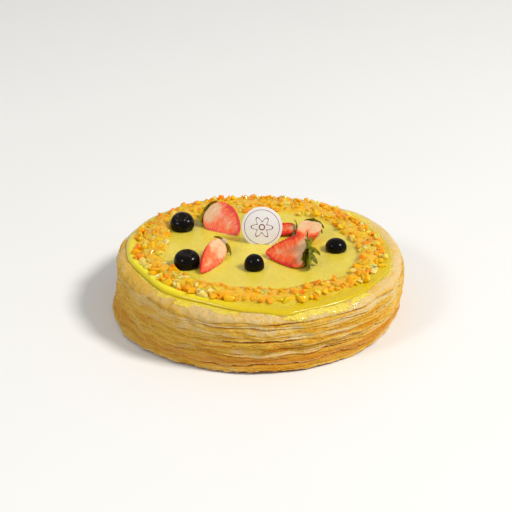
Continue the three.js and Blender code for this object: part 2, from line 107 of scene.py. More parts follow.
# Rows of a sheet as shares of its height, from behind the sheet above it down to its edge, and rows of the
# last crepe's shoulder as shares of its quarter turn.
SHEET_ROWS = (1.7, 1.3, 1.08, 0.97, 0.88, 0.78, 0.67, 0.56, 0.44, 0.33, 0.23, 0.14, 0.07, 0.0)
SHOULDER_ROWS = (0.0, 0.06, 0.12, 0.18, 0.25, 0.32, 0.4, 0.48, 0.57, 0.66, 0.76, 0.86, 0.95)
# Painted shade in a crevice, painted highlight near an edge, browning, syrup, and smoothness of the skin, by
# which the smooth side is also painted duller as shade, each from 0 to 1.
CREPE_ATTRIBUTES = ("recess_shade", "edge", "tone", "wet", "calm")
# Hidden skin is painted in full shade.
SHADED_HIDDEN_SKIN = (1.0, 0.0, 0.5, 0.0, 0.0)
# Middle and width in degrees of the side where the wall is smooth.
SMOOTH_SIDE = -142
SMOOTH_WIDTH = 36
# Band and number of the sheets with the deepest tears, and of the one whose edge stands open all round.
TORN_SHEETS = ((0, 0), (1, 0))
OPEN_SHEET = (1, 0)
OPEN_LEAST = 0.8
# One open crevice at the front: band and number of the sheet over it, its middle and width in degrees, and
# its depth.
CREVICE_SHEET = (5, 0)
CREVICE_MIDDLE = -90
CREVICE_WIDTH = 9
CREVICE_DEPTH = 1.2
# Heights of the warm skin low on the wall, of the paler strip at its foot and of the painted amber line of
# shade, and the line's half width where it is full and where it ends.
WARM_SKIN = (2.0, 16.0)
PALE_FOOT = (3.0, 7.5)
AMBER_LINE = 9.0
AMBER_WIDTH = (0.4, 2.6)
# Middle and width in degrees of each wet run on the last crepe, and how far down it goes.
WET_RUNS = (
    (-75, 7, 1.15), (-58, 8, 1.2), (-67, 6, 0.8), (-84, 5, 0.5), (-46, 6, 0.7), (-122, 4, 0.6),
    (-104, 7, 0.4), (-133, 4, 0.5), (-20, 8, 0.3), (40, 12, 0.4), (95, 10, 0.5), (150, 12, 0.4),
)

# ---------------------------------------------------------------- glaze, in millimetres
GLAZE_TOP = 41.4
GLAZE_RADIUS = 91.6
# The rolled edge, and where round the cake it is raised to a bead.
ROLL_DEPTH = 6.4
ROLL_CREST = 0.1
ROLL_FULLNESS = 2.3
RAISED_CREST = 1.2
RAISED_NARROWER = 3.2
RIM_SINK = 0.6
RAISED_MIDDLE = -150
RAISED_WIDTH = 45
ROLL_BACK = (0.8, 1.6, 2.4, 3.2)
# Radii of the rows on top.
GLAZE_RADII = (*range(84, 58, -2), 57, 52, 44, 32, 20, 9)
# Thick rim, ring of fruit, stain of ripe fruit, and painted light along the raised bead, each from 0 to 1.
GLAZE_ATTRIBUTES = ("rim", "ring", "stain", "bead")
PLAIN_GLAZE = (0.0, 0.0, 0.0, 0.0)
RIM_GLAZE = (1.0, 0.0, 0.0, 0.0)
RING_BED = 2.4
# Middle in degrees, reach and width in degrees of each lobe in the outline of the glaze and of the ring.
RUNS = (
    (-80, 3.0, 6), (-68, 1.6, 30), (-45, 0.8, 12), (-14, 1.2, 16), (30, -1.8, 18), (62, 1.8, 11),
    (124, 3.4, 12), (150, 3.2, 12), (170, 2.4, 10), (-170, 0.9, 10), (-150, -3.4, 16), (-114, -4.0, 15),
)
INNER_LOBES = (
    (-95, -1.2, 25), (-33, 7.0, 16), (-8, 3.0, 12), (90, -3.0, 30), (150, 5.0, 12), (-155, 3.0, 12),
    (-130, 1.0, 12),
)
OUTER_LOBES = ((-100, -7.2, 40), (-52, -4.5, 14))
RING_RIPPLE = 0.8
RIM_ROOM = 5.5
RING_INNER = 67.0
RING_OUTER = 87.5
# Chopped fruit: large pieces in lanes, where the solid has them, and slimmer small ones scattered between.
# Seeds of the draws for the large and the small pieces' places, and for the form of both.
LARGE_SEED = 7
SMALL_SEED = 31
SHAPE_SEED = 21
LARGE_BITS = 100
LARGE_SIZES = (3.8, 5.8)
LANES = 4
LANE_STRIDE = 3
SMALL_SIZES = (3.6, 7.0)
SMALL_SLIMMER = (1.1, 0.8, 0.85)
SMALL_TILT = 2.2
SMALL_SPACING = 0.26
SPARSE_BELOW = -0.45
# Where a piece is orange and where it is pale, by its clump's value from 0 to 1.
ORANGE_BELOW = 0.53
PALE_FROM = 0.64

# ---------------------------------------------------------------- berries, in millimetres
BERRY_LIFT = 3.7
SUNK_BERRY_LIFT = 2.2
BERRY_ROOT = 0.8
# How square a berry's upper and lower half are, for one with a crown and for a sunk one.
CROWNED_POWERS = (2.5, 3.2)
SUNK_POWERS = (2.1, 3.4)
CROWN_RISE = 1.03
# How far each berry's crown leans to +X and to +Y, in radians. A sunk berry shows its plain end.
CROWNS = {
    "blueberry_1": (-0.10, -0.35),
    "blueberry_2": (-0.05, -0.12),
    "blueberry_3": None,
    "blueberry_4": None,
}
BERRY_COLUMNS = 80
BERRY_ROWS = 60
# Each cut berry: its stalk end, its tip and the way its cut face looks; width and depth; where it is widest,
# as a share of its length, and its taper; how far white flesh reaches from the stalk; how far its leaves bend
# over it; how red its margin is, how bare of red its white end, and its core's half width; how old its leaves
# and how pale its stalk are.
STRAWBERRIES = (
    {"hull": (-36.0, 40.0, 53.0), "tip": (-13.1, 19.9, 43.2), "facing": (-0.31, -0.70, 0.64),
     "width": 24.6, "depth": 11.5, "widest": 0.41, "taper": 0.66, "white": 0.26, "hug": 4.0,
     "red": 0.14, "bare": 0.3, "core": 0.24, "age": 0.8, "pale_stalk": 0.0},
    {"hull": (-23.6, -10.0, 50.4), "tip": (-37.4, -42.3, 43.2), "facing": (0.66, -0.38, 0.64),
     "width": 15.4, "depth": 7.2, "widest": 0.36, "taper": 0.65, "white": 0.37, "hug": 4.0,
     "red": 0.08, "bare": 0.6, "core": 0.32, "age": 0.35, "pale_stalk": 1.0},
    {"hull": (32.9, -25.2, 52.2), "tip": (5.6, -13.3, 44.6), "facing": (-0.43, -0.48, 0.77),
     "width": 25.6, "depth": 10.5, "widest": 0.20, "taper": 0.6, "white": 0.2, "hug": 0.5,
     "red": 0.1, "bare": 0.4, "core": 0.26, "age": 1.0, "pale_stalk": 0.0},
    {"hull": (39.2, 21.6, 52.4), "tip": (28.8, -3.4, 44.6), "facing": (-0.20, -0.48, 0.86),
     "width": 16.8, "depth": 9.0, "widest": 0.26, "taper": 0.65, "white": 0.44, "hug": 3.0,
     "red": 0.4, "bare": 1.0, "core": 0.2, "age": 0.5, "pale_stalk": 0.0},
    {"hull": (27.0, 21.6, 47.4), "tip": (2.5, 23.4, 44.4), "facing": (-0.05, -0.42, 0.90),
     "width": 10.6, "depth": 6.0, "widest": 0.35, "taper": 0.7, "white": 0.12, "hug": 2.0,
     "red": 0.3, "bare": 0.2, "core": 0.2, "age": 0.8, "pale_stalk": 0.0},
)
FRUIT_ROWS = 96
FACE_COLUMNS = 40
SKIN_COLUMNS = 72
SHOULDER_FULLNESS = 0.5
LOBE_SPACING = 2.6
LOBE_DEPTH = 0.55
RAY_SLANT = 0.45
CORE_MIDDLE = 0.45
CORE_LENGTH = 0.17
SEED_ROW_STEP = 3.1
SEED_SPACING = 3.2
SEED_SIZE = (0.75, 0.42, 0.28)
SEED_DEPTH = 0.25
DIMPLE_RADIUS = 1.2
DIMPLE_DEPTH = 0.35
# Of each leaf: turn round the berry in degrees, reach, width, lean in degrees and curl.
LEAVES = (
    ((6, 10.0, 4.4, 4, 0.10), (176, 10.5, 4.2, 4, 0.12), (-40, 12.5, 4.4, 12, 0.10),
     (-140, 14.0, 4.2, 10, 0.10), (-90, 9.5, 4.4, 16, 0.10)),
    ((184, 8.0, 2.8, 8, 0.10), (0, 9.0, 3.0, 10, 0.10), (-30, 9.0, 3.0, 24, 0.10),
     (-100, 6.5, 3.0, 26, 0.10)),
    ((176, 12.0, 4.6, 12, 0.12), (142, 12.6, 2.6, 8, 0.04), (60, 5.5, 4.6, 40, 0.14),
     (12, 11.0, 5.4, 30, 0.12), (-14, 13.5, 5.6, 12, 0.12), (-60, 9.0, 5.0, 30, 0.10),
     (-130, 11.0, 3.6, 34, 0.34)),
    ((-12, 8.5, 3.6, 6, 0.10), (192, 8.0, 3.4, 10, 0.10), (-50, 9.5, 3.6, 12, 0.10),
     (-110, 7.0, 3.6, 20, 0.10)),
    ((6, 5.0, 2.8, 4, 0.10), (150, 6.0, 3.2, 5, 0.10)),
)
# More leaves of the third berry, which bend further over its shoulder.
MORE_LEAVES = {
    2: ((-75, 10.0, 9.0, 14, 0.1), (-96, 10.5, 9.0, 8, 0.1), (-44, 9.5, 9.0, 12, 0.1),
        (150, 8.5, 4.0, 14, 0.1), (20, 8.0, 8.0, 14, 0.1), (-10, 9.0, 8.5, 12, 0.1),
        (-112, 9.0, 8.0, 14, 0.1), (170, 9.0, 3.4, 20, 0.1)),
}
MORE_HUG = 3.0
LEAF_START = 0.8
# How far behind the berry's stalk end the leaves and the stub start.
LEAF_CLEARANCE = 0.3
LEAF_SETBACK = 0.15
LEAF_THICKNESS = 0.35
STUB_RADII = (2.3, 1.9)
STUB_LENGTH = 1.0

# ---------------------------------------------------------------- badge, in millimetres and degrees
BADGE_RADIUS = 14.3
BADGE_THICKNESS = 1.1
BADGE_BEVEL = 0.18
BADGE_LEAN = 14
BADGE_TURN = -4
# The printed ring and rosette, as shares of the badge's radius.
PRINT_RING = 0.86
ROSETTE = 0.40
PETALS = 6.0
PETAL_REACH = 0.13
ROSETTE_EYE = 0.13
STROKE = 0.032
THIN_STROKE = 0.016

# ---------------------------------------------------------------- floor and lights, in millimetres
FLOOR_SIZE = 4000
# Place, width and colour of each lamp. Both are aimed at one point of the cake.
LIT_POINT = (0, 0, 30)
KEY_LAMP = ((1900, -500, 2240), 800, (1.0, 0.975, 0.94))
FILL_LAMP = ((-1500, -1100, 1500), 600, (0.98, 0.985, 1.0))

# ---------------------------------------------------------------- camera, in millimetres and degrees
CAMERA_PLACE = Vector((-2.0, -849.31, 448.47))
CAMERA_PITCH = 25.951
CAMERA_YAW = 0.0731
CAMERA_ROLL = 0.5329
CAMERA_LENS = 95.085
CAMERA_SENSOR = 36.0


# ================================================================ helpers: numbers
def srgb(red, green, blue):
    """A colour given as 0 to 255 screen values, as the linear values that shaders use."""
    def linear(value):
        share = value / 255
        return share / 12.92 if share <= 0.04045 else ((share + 0.055) / 1.055) ** 2.4
    return (linear(red), linear(green), linear(blue), 1.0)


def seeded_random(seed):
    """The same sequence of numbers from 0 to 1 as the solids are made with."""
    mask = 0xFFFFFFFF
    state = seed

    def draw():
        nonlocal state
        state = (state + 0x6D2B79F5) & mask
        mixed = ((state ^ (state >> 15)) * (1 | state)) & mask
        mixed = ((mixed + (((mixed ^ (mixed >> 7)) * (61 | mixed)) & mask)) & mask) ^ mixed
        return ((mixed ^ (mixed >> 14)) & mask) / 4294967296
    return draw


def closed_wave(seed, lowest, highest):
    """A smooth wave round the cake, between about -1 and 1."""
    draw = seeded_random(seed)
    terms = [(cycles, 1 / math.sqrt(cycles), draw() * TAU) for cycles in range(lowest, highest + 1)]
    scale = 1 / math.sqrt(sum(height * height for _, height, _ in terms))

    def wave(angle):
        return scale * sum(height * math.cos(cycles * angle + phase) for cycles, height, phase in terms)
    return wave


def bump(angle, middle, width):
    """A smooth bump round the cake, 1 at its middle. Its middle and width are in degrees."""
    offset = angle - math.radians(middle)
    offset = math.atan2(math.sin(offset), math.cos(offset))
    return math.exp(-((offset / math.radians(width)) ** 2))


def shaped(length, lobes, angle):
    """A length that is larger or smaller in places, by lobes of middle, reach and width."""
    return length + sum(reach * bump(angle, middle, width) for middle, reach, width in lobes)


def between(low, high, share):
    """The value at a share of the way from low to high."""
    return low + (high - low) * share


def blend(low, high, value):
    """0 below low, 1 above high and smooth between."""
    share = min(max((value - low) / (high - low), 0.0), 1.0)
    return share * share * (3 - 2 * share)


def fullness(level, across, power):
    """How far out a rounded section lies in a direction: a circle at a power of 2, squarer above it."""
    return (level ** power + across ** power) ** (-1 / power)


def ring_noise(angle, height, along, upright, seed):
    """Noise on the wall of the stack, with its own size along the wall and upright."""
    reach = CAKE_RADIUS / along
    level = height / upright + NOISE_STEP * seed
    return noise.noise(Vector((reach * math.cos(angle), reach * math.sin(angle), level)))


def creases(angle, height, along, upright, seed, depth=2):
    """Noise folded into sharp creases, 1 along each of them."""
    return 1 - depth * abs(ring_noise(angle, height, along, upright, seed))


def tears(angle, long, short, long_seed, short_seed):
    """How far an edge is torn up or down, by long and by short tears."""
    return 0.6 * ring_noise(angle, 0, long, 1, long_seed) + 0.4 * ring_noise(angle, 0, short, 1, short_seed)


# ================================================================ helpers: form of the stack and the glaze
shared_wave = closed_wave(11, 2, 6)
edge_waves = [closed_wave(40 + layer, 2, 13) for layer in range(len(LIP_HEIGHTS))]
wall_waves = [closed_wave(80 + layer, 2, 9) for layer in range(len(LIP_HEIGHTS))]


def stack_centre(height):
    """Middle of the stack at a height: it leans a little to +X."""
    return LEAN * (min(height, CREPE_TOP) / CREPE_TOP - 0.5)


def lip_height(layer, angle):
    """Height of the lowest edge of a band."""
    if layer >= len(LIP_HEIGHTS):
        return CREPE_TOP
    if layer == 0:
        return LIP_HEIGHTS[0] + FOOT_WAVE * edge_waves[0](angle)
    below = LIP_HEIGHTS[layer] - LIP_HEIGHTS[layer - 1]
    above = (LIP_HEIGHTS + (CREPE_TOP,))[layer + 1] - LIP_HEIGHTS[layer]
    own_wave = EDGE_WAVE * min(below, above) * edge_waves[layer](angle)
    return LIP_HEIGHTS[layer] + SHARED_WAVE * shared_wave(angle) + own_wave


def wall_radius(layer, angle):
    """Distance of a band's edge from the middle of the stack."""
    lobes = [(middle, reach[layer], width) for middle, width, reach in WALL_LOBES]
    return (shaped(CAKE_RADIUS + LIP_REACH[layer], lobes, angle) + WALL_SHARED * shared_wave(angle)
            + WALL_WAVE * wall_waves[layer](angle))


def glaze_radius(angle):
    """Outline of the glaze."""
    return shaped(GLAZE_RADIUS, RUNS, angle)


def shoulder_height(radius, angle):
    """Height of the last crepe's rounded shoulder."""
    foot = lip_height(TOP_BAND, angle) + SHOULDER_START
    start = wall_radius(TOP_BAND, angle) - SHOULDER_WIDTH
    sideways = min(max((radius - start) / SHOULDER_WIDTH, 0.0), 0.95)
    return between(foot, CREPE_TOP, math.sqrt(1 - sideways * sideways))


def on_stack(radius, angle, height):
    """A point of the leaning stack."""
    return Vector((stack_centre(height) + radius * math.cos(angle), radius * math.sin(angle), height))


# ================================================================ helpers: meshes
def turned(columns, segments, closed, attributes):
    """A spun body. columns(angle) gives each row's point, followed by its values of the attributes."""
    ready = {0: columns(0.0)}
    bm = bmesh.new()
    outline = [bm.verts.new((1, 0, row)) for row in range(len(ready[0]))]
    following = outline[1:] + outline[:1] if closed else outline[1:]
    edges = [bm.edges.new(pair) for pair in zip(outline, following)]
    bmesh.ops.spin(bm, geom=outline + edges, cent=(0, 0, 0), axis=(0, 0, 1), angle=TAU,
                   steps=segments // SPIN_CUTS, use_merge=True)
    around = [edge for edge in bm.edges if abs(edge.verts[0].co.z - edge.verts[1].co.z) < 0.5]
    bmesh.ops.subdivide_edges(bm, edges=around, cuts=SPIN_CUTS - 1, use_grid_fill=True)
    layers = [bm.verts.layers.float.new(name) for name in attributes]
    for vert in bm.verts:
        row = round(vert.co.z)
        step = round(math.atan2(vert.co.y, vert.co.x) * segments / TAU) % segments
        if step not in ready:
            ready[step] = columns(step * TAU / segments)
        point, *values = ready[step][row]
        vert.co = point
        for layer, value in zip(layers, values):
            vert[layer] = value
    bmesh.ops.remove_doubles(bm, verts=bm.verts, dist=1e-4)
    bmesh.ops.recalc_face_normals(bm, faces=bm.faces)
    return bm


def join(bm, other):
    """Adds another bmesh's faces and frees it."""
    mesh = bpy.data.meshes.new("part")
    other.to_mesh(mesh)
    other.free()
    bm.from_mesh(mesh)
    bpy.data.meshes.remove(mesh)


def add_piece(name, bm, material, replaced=(), sharp=None):
    """Makes a bmesh in millimetres a piece of the cake. Edges over sharp degrees stay sharp."""
    bmesh.ops.transform(bm, matrix=PLACE, verts=bm.verts)
    mesh = bpy.data.meshes.new(name)
    bm.to_mesh(mesh)
    bm.free()
    mesh.shade_smooth()
    if sharp is not None:
        mesh.set_sharp_from_angle(angle=math.radians(sharp))
    piece = bpy.data.objects.new(name, mesh)
    bpy.context.scene.collection.objects.link(piece)
    mesh.materials.append(material)
    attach(piece, BODY)
    if replaced:
        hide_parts(*replaced)


# ================================================================ helpers: materials
def node(tree, kind, **settings):
    """A new node with its settings."""
    made = tree.nodes.new(kind)
    for name, value in settings.items():
        setattr(made, name, value)
    return made


def feed(tree, socket, source):
    """Links a socket, or sets its value."""
    if isinstance(source, bpy.types.NodeSocket):
        tree.links.new(source, socket)
    else:
        socket.default_value = source


def feed_all(tree, made, **sources):
    """Links or sets a node's inputs by their names, with _ for each space."""
    for name, source in sources.items():
        feed(tree, made.inputs[name.replace("_", " ")], source)
    return made


def feed_row(tree, made, numbers, sources):
    """Links or sets a node's inputs by their numbers."""
    for number, source in zip(numbers, sources):
        feed(tree, made.inputs[number], source)
    return made


def mixed(tree, factor, first, second):
    """Between two colours, by a factor from 0 to 1."""
    made = node(tree, "ShaderNodeMix", data_type="RGBA")
    return feed_row(tree, made, (0, 6, 7), (factor, first, second)).outputs[2]


def mixed_value(tree, factor, first, second):
    """Between two values, by a factor from 0 to 1."""
    made = node(tree, "ShaderNodeMix", data_type="FLOAT")
    return feed_row(tree, made, (0, 2, 3), (factor, first, second)).outputs[0]


def maths(tree, operation, *values):
    """One or two values under a math node's operation."""
    made = node(tree, "ShaderNodeMath", operation=operation)
    return feed_row(tree, made, range(2), values).outputs[0]


def plus(tree, first, second):
    """The sum of two values."""
    return maths(tree, "ADD", first, second)


def times(tree, first, second):
    """The product of two values."""
    return maths(tree, "MULTIPLY", first, second)


def apart(tree, first, second):
    """How far two values lie apart."""
    return maths(tree, "ABSOLUTE", maths(tree, "SUBTRACT", first, second))


def swing(tree, value, width):
    """A noise value from 0 to 1 as a swing of a given width about zero."""
    return times(tree, maths(tree, "SUBTRACT", value, 0.5), width)


def span(tree, value, low, high, to_low=0.0, to_high=1.0):
    """Maps a value smoothly from one range to another, held at its ends."""
    made = node(tree, "ShaderNodeMapRange", interpolation_type="SMOOTHSTEP")
    return feed_row(tree, made, range(5), (value, low, high, to_low, to_high)).outputs[0]


def grain(tree, vector, scale, detail=3.0, roughness=0.5):
    """Noise from 0 to 1."""
    made = node(tree, "ShaderNodeTexNoise")
    feed_all(tree, made, Vector=vector, Scale=scale, Detail=detail, Roughness=roughness)
    return made.outputs["Fac"]


def attribute(tree, name):
    """A piece's own attribute by its name."""
    return node(tree, "ShaderNodeAttribute", attribute_name=name).outputs["Fac"]


def object_space(tree, flattened=1):
    """Object coordinates in millimetres, in which patterns can be flattened."""
    coordinates = node(tree, "ShaderNodeTexCoord").outputs["Object"]
    made = node(tree, "ShaderNodeMapping")
    feed_all(tree, made, Vector=coordinates, Scale=(1 / MM, 1 / MM, flattened / MM))
    return made.outputs["Vector"]


def axes(tree, vector):
    """A vector's X, Y and Z by their names."""
    return feed_all(tree, node(tree, "ShaderNodeSeparateXYZ"), Vector=vector).outputs


def build_group(name, inputs, outputs):
    """An empty shader node group, with the sockets that it is given and that it puts out by their names."""
    tree = bpy.data.node_groups.new(name, "ShaderNodeTree")
    for label, kind, value in inputs:
        socket = tree.interface.new_socket(label, in_out="INPUT", socket_type=kind)
        if value is not None:
            socket.default_value = value
    for label, kind in outputs:
        tree.interface.new_socket(label, in_out="OUTPUT", socket_type=kind)
    return tree, node(tree, "NodeGroupInput").outputs, node(tree, "NodeGroupOutput").inputs


def relief_group():
    """Two sizes of soft bumps, for baked and for fresh surfaces."""
    name = "Fine relief"
    if name in bpy.data.node_groups:
        return bpy.data.node_groups[name]
    tree, given, result = build_group(
        name,
        (("Vector", "NodeSocketVector", None), ("Coarse scale", "NodeSocketFloat", 0.3),
         ("Fine scale", "NodeSocketFloat", 2.0), ("Share of fine", "NodeSocketFloat", 0.4),
         ("Height", "NodeSocketFloat", 0.2)),
        (("Normal", "NodeSocketVector"), ("Relief", "NodeSocketFloat")))
    coarse = grain(tree, given["Vector"], given["Coarse scale"], 4.0)
    fine = grain(tree, given["Vector"], given["Fine scale"], 2.0)
    relief = plus(tree, coarse, times(tree, fine, given["Share of fine"]))
    height = times(tree, relief, given["Height"])
    bumped = feed_all(tree, node(tree, "ShaderNodeBump"), Height=height, Distance=MM)
    feed(tree, result["Normal"], bumped.outputs["Normal"])
    feed(tree, result["Relief"], relief)
    return tree


def patches_group():
    """Soft patches of one colour on another, with a mottled edge."""
    name = "Mottled patches"
    if name in bpy.data.node_groups:
        return bpy.data.node_groups[name]
    tree, given, result = build_group(
        name,
        (("Vector", "NodeSocketVector", None), ("Scale", "NodeSocketFloat", 0.05),
         ("Start", "NodeSocketFloat", 0.45), ("Full", "NodeSocketFloat", 0.65),
         ("Base", "NodeSocketColor", (1, 1, 1, 1)), ("Patch", "NodeSocketColor", (0, 0, 0, 1))),
        (("Color", "NodeSocketColor"), ("Mask", "NodeSocketFloat")))
    cloud = grain(tree, given["Vector"], given["Scale"], 5.0, 0.6)
    mask = span(tree, cloud, given["Start"], given["Full"])
    feed(tree, result["Color"], mixed(tree, mask, given["Base"], given["Patch"]))
    feed(tree, result["Mask"], mask)
    return tree


def add_relief(tree, shader, vector, coarse, fine, share, height):
    """Gives a surface the relief: the scales of its two bumps, the share of the fine ones, its height."""
    made = node(tree, "ShaderNodeGroup", node_tree=relief_group())
    feed_all(tree, made, Vector=vector, Coarse_scale=coarse, Fine_scale=fine, Share_of_fine=share,
             Height=height)
    feed(tree, shader.inputs["Normal"], made.outputs["Normal"])
    return made.outputs["Relief"]


def patches(tree, vector, scale, start, full, base, patch):
    """The mottled patches' Color and Mask. They start and are full at these values of the noise."""
    made = node(tree, "ShaderNodeGroup", node_tree=patches_group())
    feed_all(tree, made, Vector=vector, Scale=scale, Start=start, Full=full, Base=base, Patch=patch)
    return made.outputs


def new_material(name, **constants):
    """A material, its tree and its Principled shader. A constant's name has _ for each space."""
    material = bpy.data.materials.new(name)
    material.use_nodes = True
    tree = material.node_tree
    return material, tree, feed_all(tree, tree.nodes["Principled BSDF"], **constants)


# ================================================================ settings
def colour_setting(name, description, default):
    """A colour that a user can change."""
    return bpy.props.FloatVectorProperty(
        name=name, description=description, default=default, size=4, subtype="COLOR", min=0, max=1)


def number_setting(name, description, default, **more):
    """A number that a user can change, zero or more."""
    return bpy.props.FloatProperty(name=name, description=description, default=default, min=0, **more)


class CrepeSettings(bpy.types.PropertyGroup):
    """Sizes and colours of the crepes."""
    # Pale also paints the highlight along the edges.
    pale: colour_setting("Pale", "Crepe skin where the pan did not brown it", srgb(224, 194, 134))
    tan: colour_setting("Tan", "Crepe skin over most of the wall", srgb(222, 174, 56))
    golden: colour_setting("Golden", "Baked patches", srgb(206, 132, 0))
    # The smooth side is drawn duller and greyer: painted shade of that side over its smoother skin.
    dull: colour_setting("Dull", "Smooth skin drawn over the side", srgb(206, 164, 70))
    # Crevice paints the shade under the folded edges and on hidden skin.
    crevice: colour_setting("Crevice", "Under the folded edges", srgb(200, 108, 4))
    fold: number_setting("Fold", "Depth of the soft folds in the wall", 1.6 * MM, unit="LENGTH")
    ragged: number_setting("Ragged edge", "Height of the tears along the edges", 0.6 * MM, unit="LENGTH")


class GlazeSettings(bpy.types.PropertyGroup):
    """Colours of the glaze and the chopped fruit."""
    middle: colour_setting("Middle", "Thin glaze over the crepe", srgb(230, 206, 74))
    rim: colour_setting("Rim", "Thick glaze at the rim", srgb(211, 181, 0))
    orange: colour_setting("Orange fruit", "Ripe chopped fruit", srgb(244, 126, 0))
    # Syrup also paints the light along the raised bead.
    syrup: colour_setting("Syrup", "Glaze that ran over the last crepe", srgb(253, 230, 30))
    juice: colour_setting("Juice", "Glaze stained by the fruit", srgb(240, 182, 0))
    ripe: colour_setting("Ripe fruit", "Lighter orange of the ripe fruit", srgb(248, 172, 0))
    clear: colour_setting("Clear fruit", "Pale cubes steeped in juice", srgb(246, 196, 40))
    golden: colour_setting("Golden fruit", "Yellow chopped fruit", srgb(244, 190, 0))
    pale: colour_setting("Pale fruit", "Clear pale cubes", srgb(250, 214, 136))
    small_bits: bpy.props.IntProperty(
        name="Small pieces", description="Chopped fruit tried for besides the large pieces", default=1500,
        min=0, max=4000)


class FruitSettings(bpy.types.PropertyGroup):
    """Colours of the berries and their leaves."""
    berry: colour_setting("Blueberry", "Berry skin", srgb(8, 6, 4))
    crown: colour_setting("Crown", "Rim of the berry's crown", srgb(40, 29, 20))
    heart: colour_setting("Heart", "Pale flesh of a cut strawberry", srgb(238, 178, 128))
    hull: colour_setting("Hull end", "Flesh next to the stalk", srgb(230, 200, 150))
    flesh: colour_setting("Flesh", "Red flesh of a cut strawberry", srgb(250, 92, 22))
    core: colour_setting("Core", "Core of a cut strawberry", srgb(250, 106, 40))
    skin: colour_setting("Skin", "Strawberry skin", srgb(222, 30, 8))
    leaf: colour_setting("Leaf", "Fresh leaf", srgb(130, 134, 4))
    young_leaf: colour_setting("Young leaf", "Light green leaf", srgb(150, 156, 34))
    # Dark patches of the leaves: dry leaf and painted shade.
    dry_and_shaded_leaf: colour_setting("Dry leaf", "Dry and shaded leaf", srgb(56, 56, 2))
    stalk: colour_setting("Stalk", "Cut stalk of a pale berry", srgb(226, 214, 208))


class BadgeSettings(bpy.types.PropertyGroup):
    """Colours of the badge."""
    card: colour_setting("Card", "Card of the badge", srgb(246, 247, 249))
    print_colour: colour_setting("Print", "Printed ornament", srgb(132, 34, 52))


class StageSettings(bpy.types.PropertyGroup):
    """Floor and lights."""
    floor: colour_setting("Floor", "Plain pale floor", srgb(240, 239, 235))
    key_power: number_setting("Key light", "Power of the main light", 72.0, subtype="POWER")
    fill_power: number_setting("Fill light", "Power of the small front light", 12.0, subtype="POWER")
    sky_strength: number_setting("Sky", "Strength of the even light from all round", 0.46)


# ================================================================ materials of the pieces
# Second colours of the mottled surfaces, the leaves' veins and the sky.
BERRY_BLOOM = srgb(16, 13, 9)
DEEP_SKIN = srgb(190, 24, 10)
SEED = srgb(222, 170, 70)
SEED_SHADE = srgb(170, 90, 30)
LEAF_VEIN = srgb(140, 138, 36)
CARD_SHADE = srgb(240, 241, 243)
FLOOR_SHADE = srgb(238, 237, 233)
SKY = srgb(244, 245, 248)


def crepe_material(settings, syrup):
    """Baked skin: pale to golden by sheet, warmer low on the wall with a painted amber line of shade above
    the foot, painted orange-brown shade under the edges and a painted pale highlight along them, painted
    shade duller and greyer on the smooth side, and syrup where glaze ran over it."""
    material, tree, shader = new_material(
        "Baked crepe", Subsurface_Weight=0.3, Subsurface_Scale=0.0014, Subsurface_Radius=(1.0, 0.5, 0.2),
        Specular_IOR_Level=0.18, Coat_Roughness=0.06)
    even = object_space(tree)
    cloud = grain(tree, object_space(tree, 3.5), 0.05, 5.0, 0.6)
    speckle = grain(tree, even, 0.4, 5.0, 0.7)
    uneven = plus(tree, swing(tree, cloud, 1.7), swing(tree, speckle, 1.7))
    tone = plus(tree, attribute(tree, "tone"), uneven)
    light = mixed(tree, span(tree, tone, 0.0, 0.5), settings.pale, settings.tan)
    baked = mixed(tree, span(tree, tone, 0.5, 1.05), light, settings.golden)
    height = axes(tree, even)["Z"]
    low = span(tree, plus(tree, height, times(tree, uneven, 10.0)), *WARM_SKIN, 0.85, 0.0)
    warm = mixed(tree, times(tree, low, span(tree, height, *PALE_FOOT, 0.15, 1.0)), baked, settings.golden)
    # A painted dark amber line of shade above the foot, in the crevice colour.
    from_line = apart(tree, plus(tree, height, times(tree, uneven, 4.0)), AMBER_LINE)
    amber_shaded = mixed(tree, span(tree, from_line, *AMBER_WIDTH, 0.5, 0.0), warm, settings.crevice)
    # Painted shade: the smooth side duller and greyer.
    drawn = mixed(tree, times(tree, attribute(tree, "calm"), 0.55), amber_shaded, settings.dull)
    # Painted shade under the edges.
    shaded = mixed(tree, span(tree, attribute(tree, "recess_shade"), 0.1, 0.95), drawn, settings.crevice)
    # Painted highlight: a pale line along each edge.
    dry = mixed(tree, times(tree, attribute(tree, "edge"), 0.7), shaded, settings.pale)
    drops = swing(tree, grain(tree, even, 0.3, 3.0, 0.55), 2.2)
    wet = span(tree, plus(tree, attribute(tree, "wet"), drops), 0.4, 0.56)
    bumpy = mixed_value(tree, wet, 1.1, 1.6)
    relief = add_relief(tree, shader, object_space(tree, 1.3), 0.32, 1.1, 0.7, bumpy)
    rough = span(tree, relief, 0.4, 0.9, 0.48, 0.66)
    feed_all(tree, shader, Base_Color=mixed(tree, times(tree, wet, 0.65), dry, syrup),
             Roughness=mixed_value(tree, wet, rough, 0.14), Coat_Weight=times(tree, wet, 0.9))
    return material


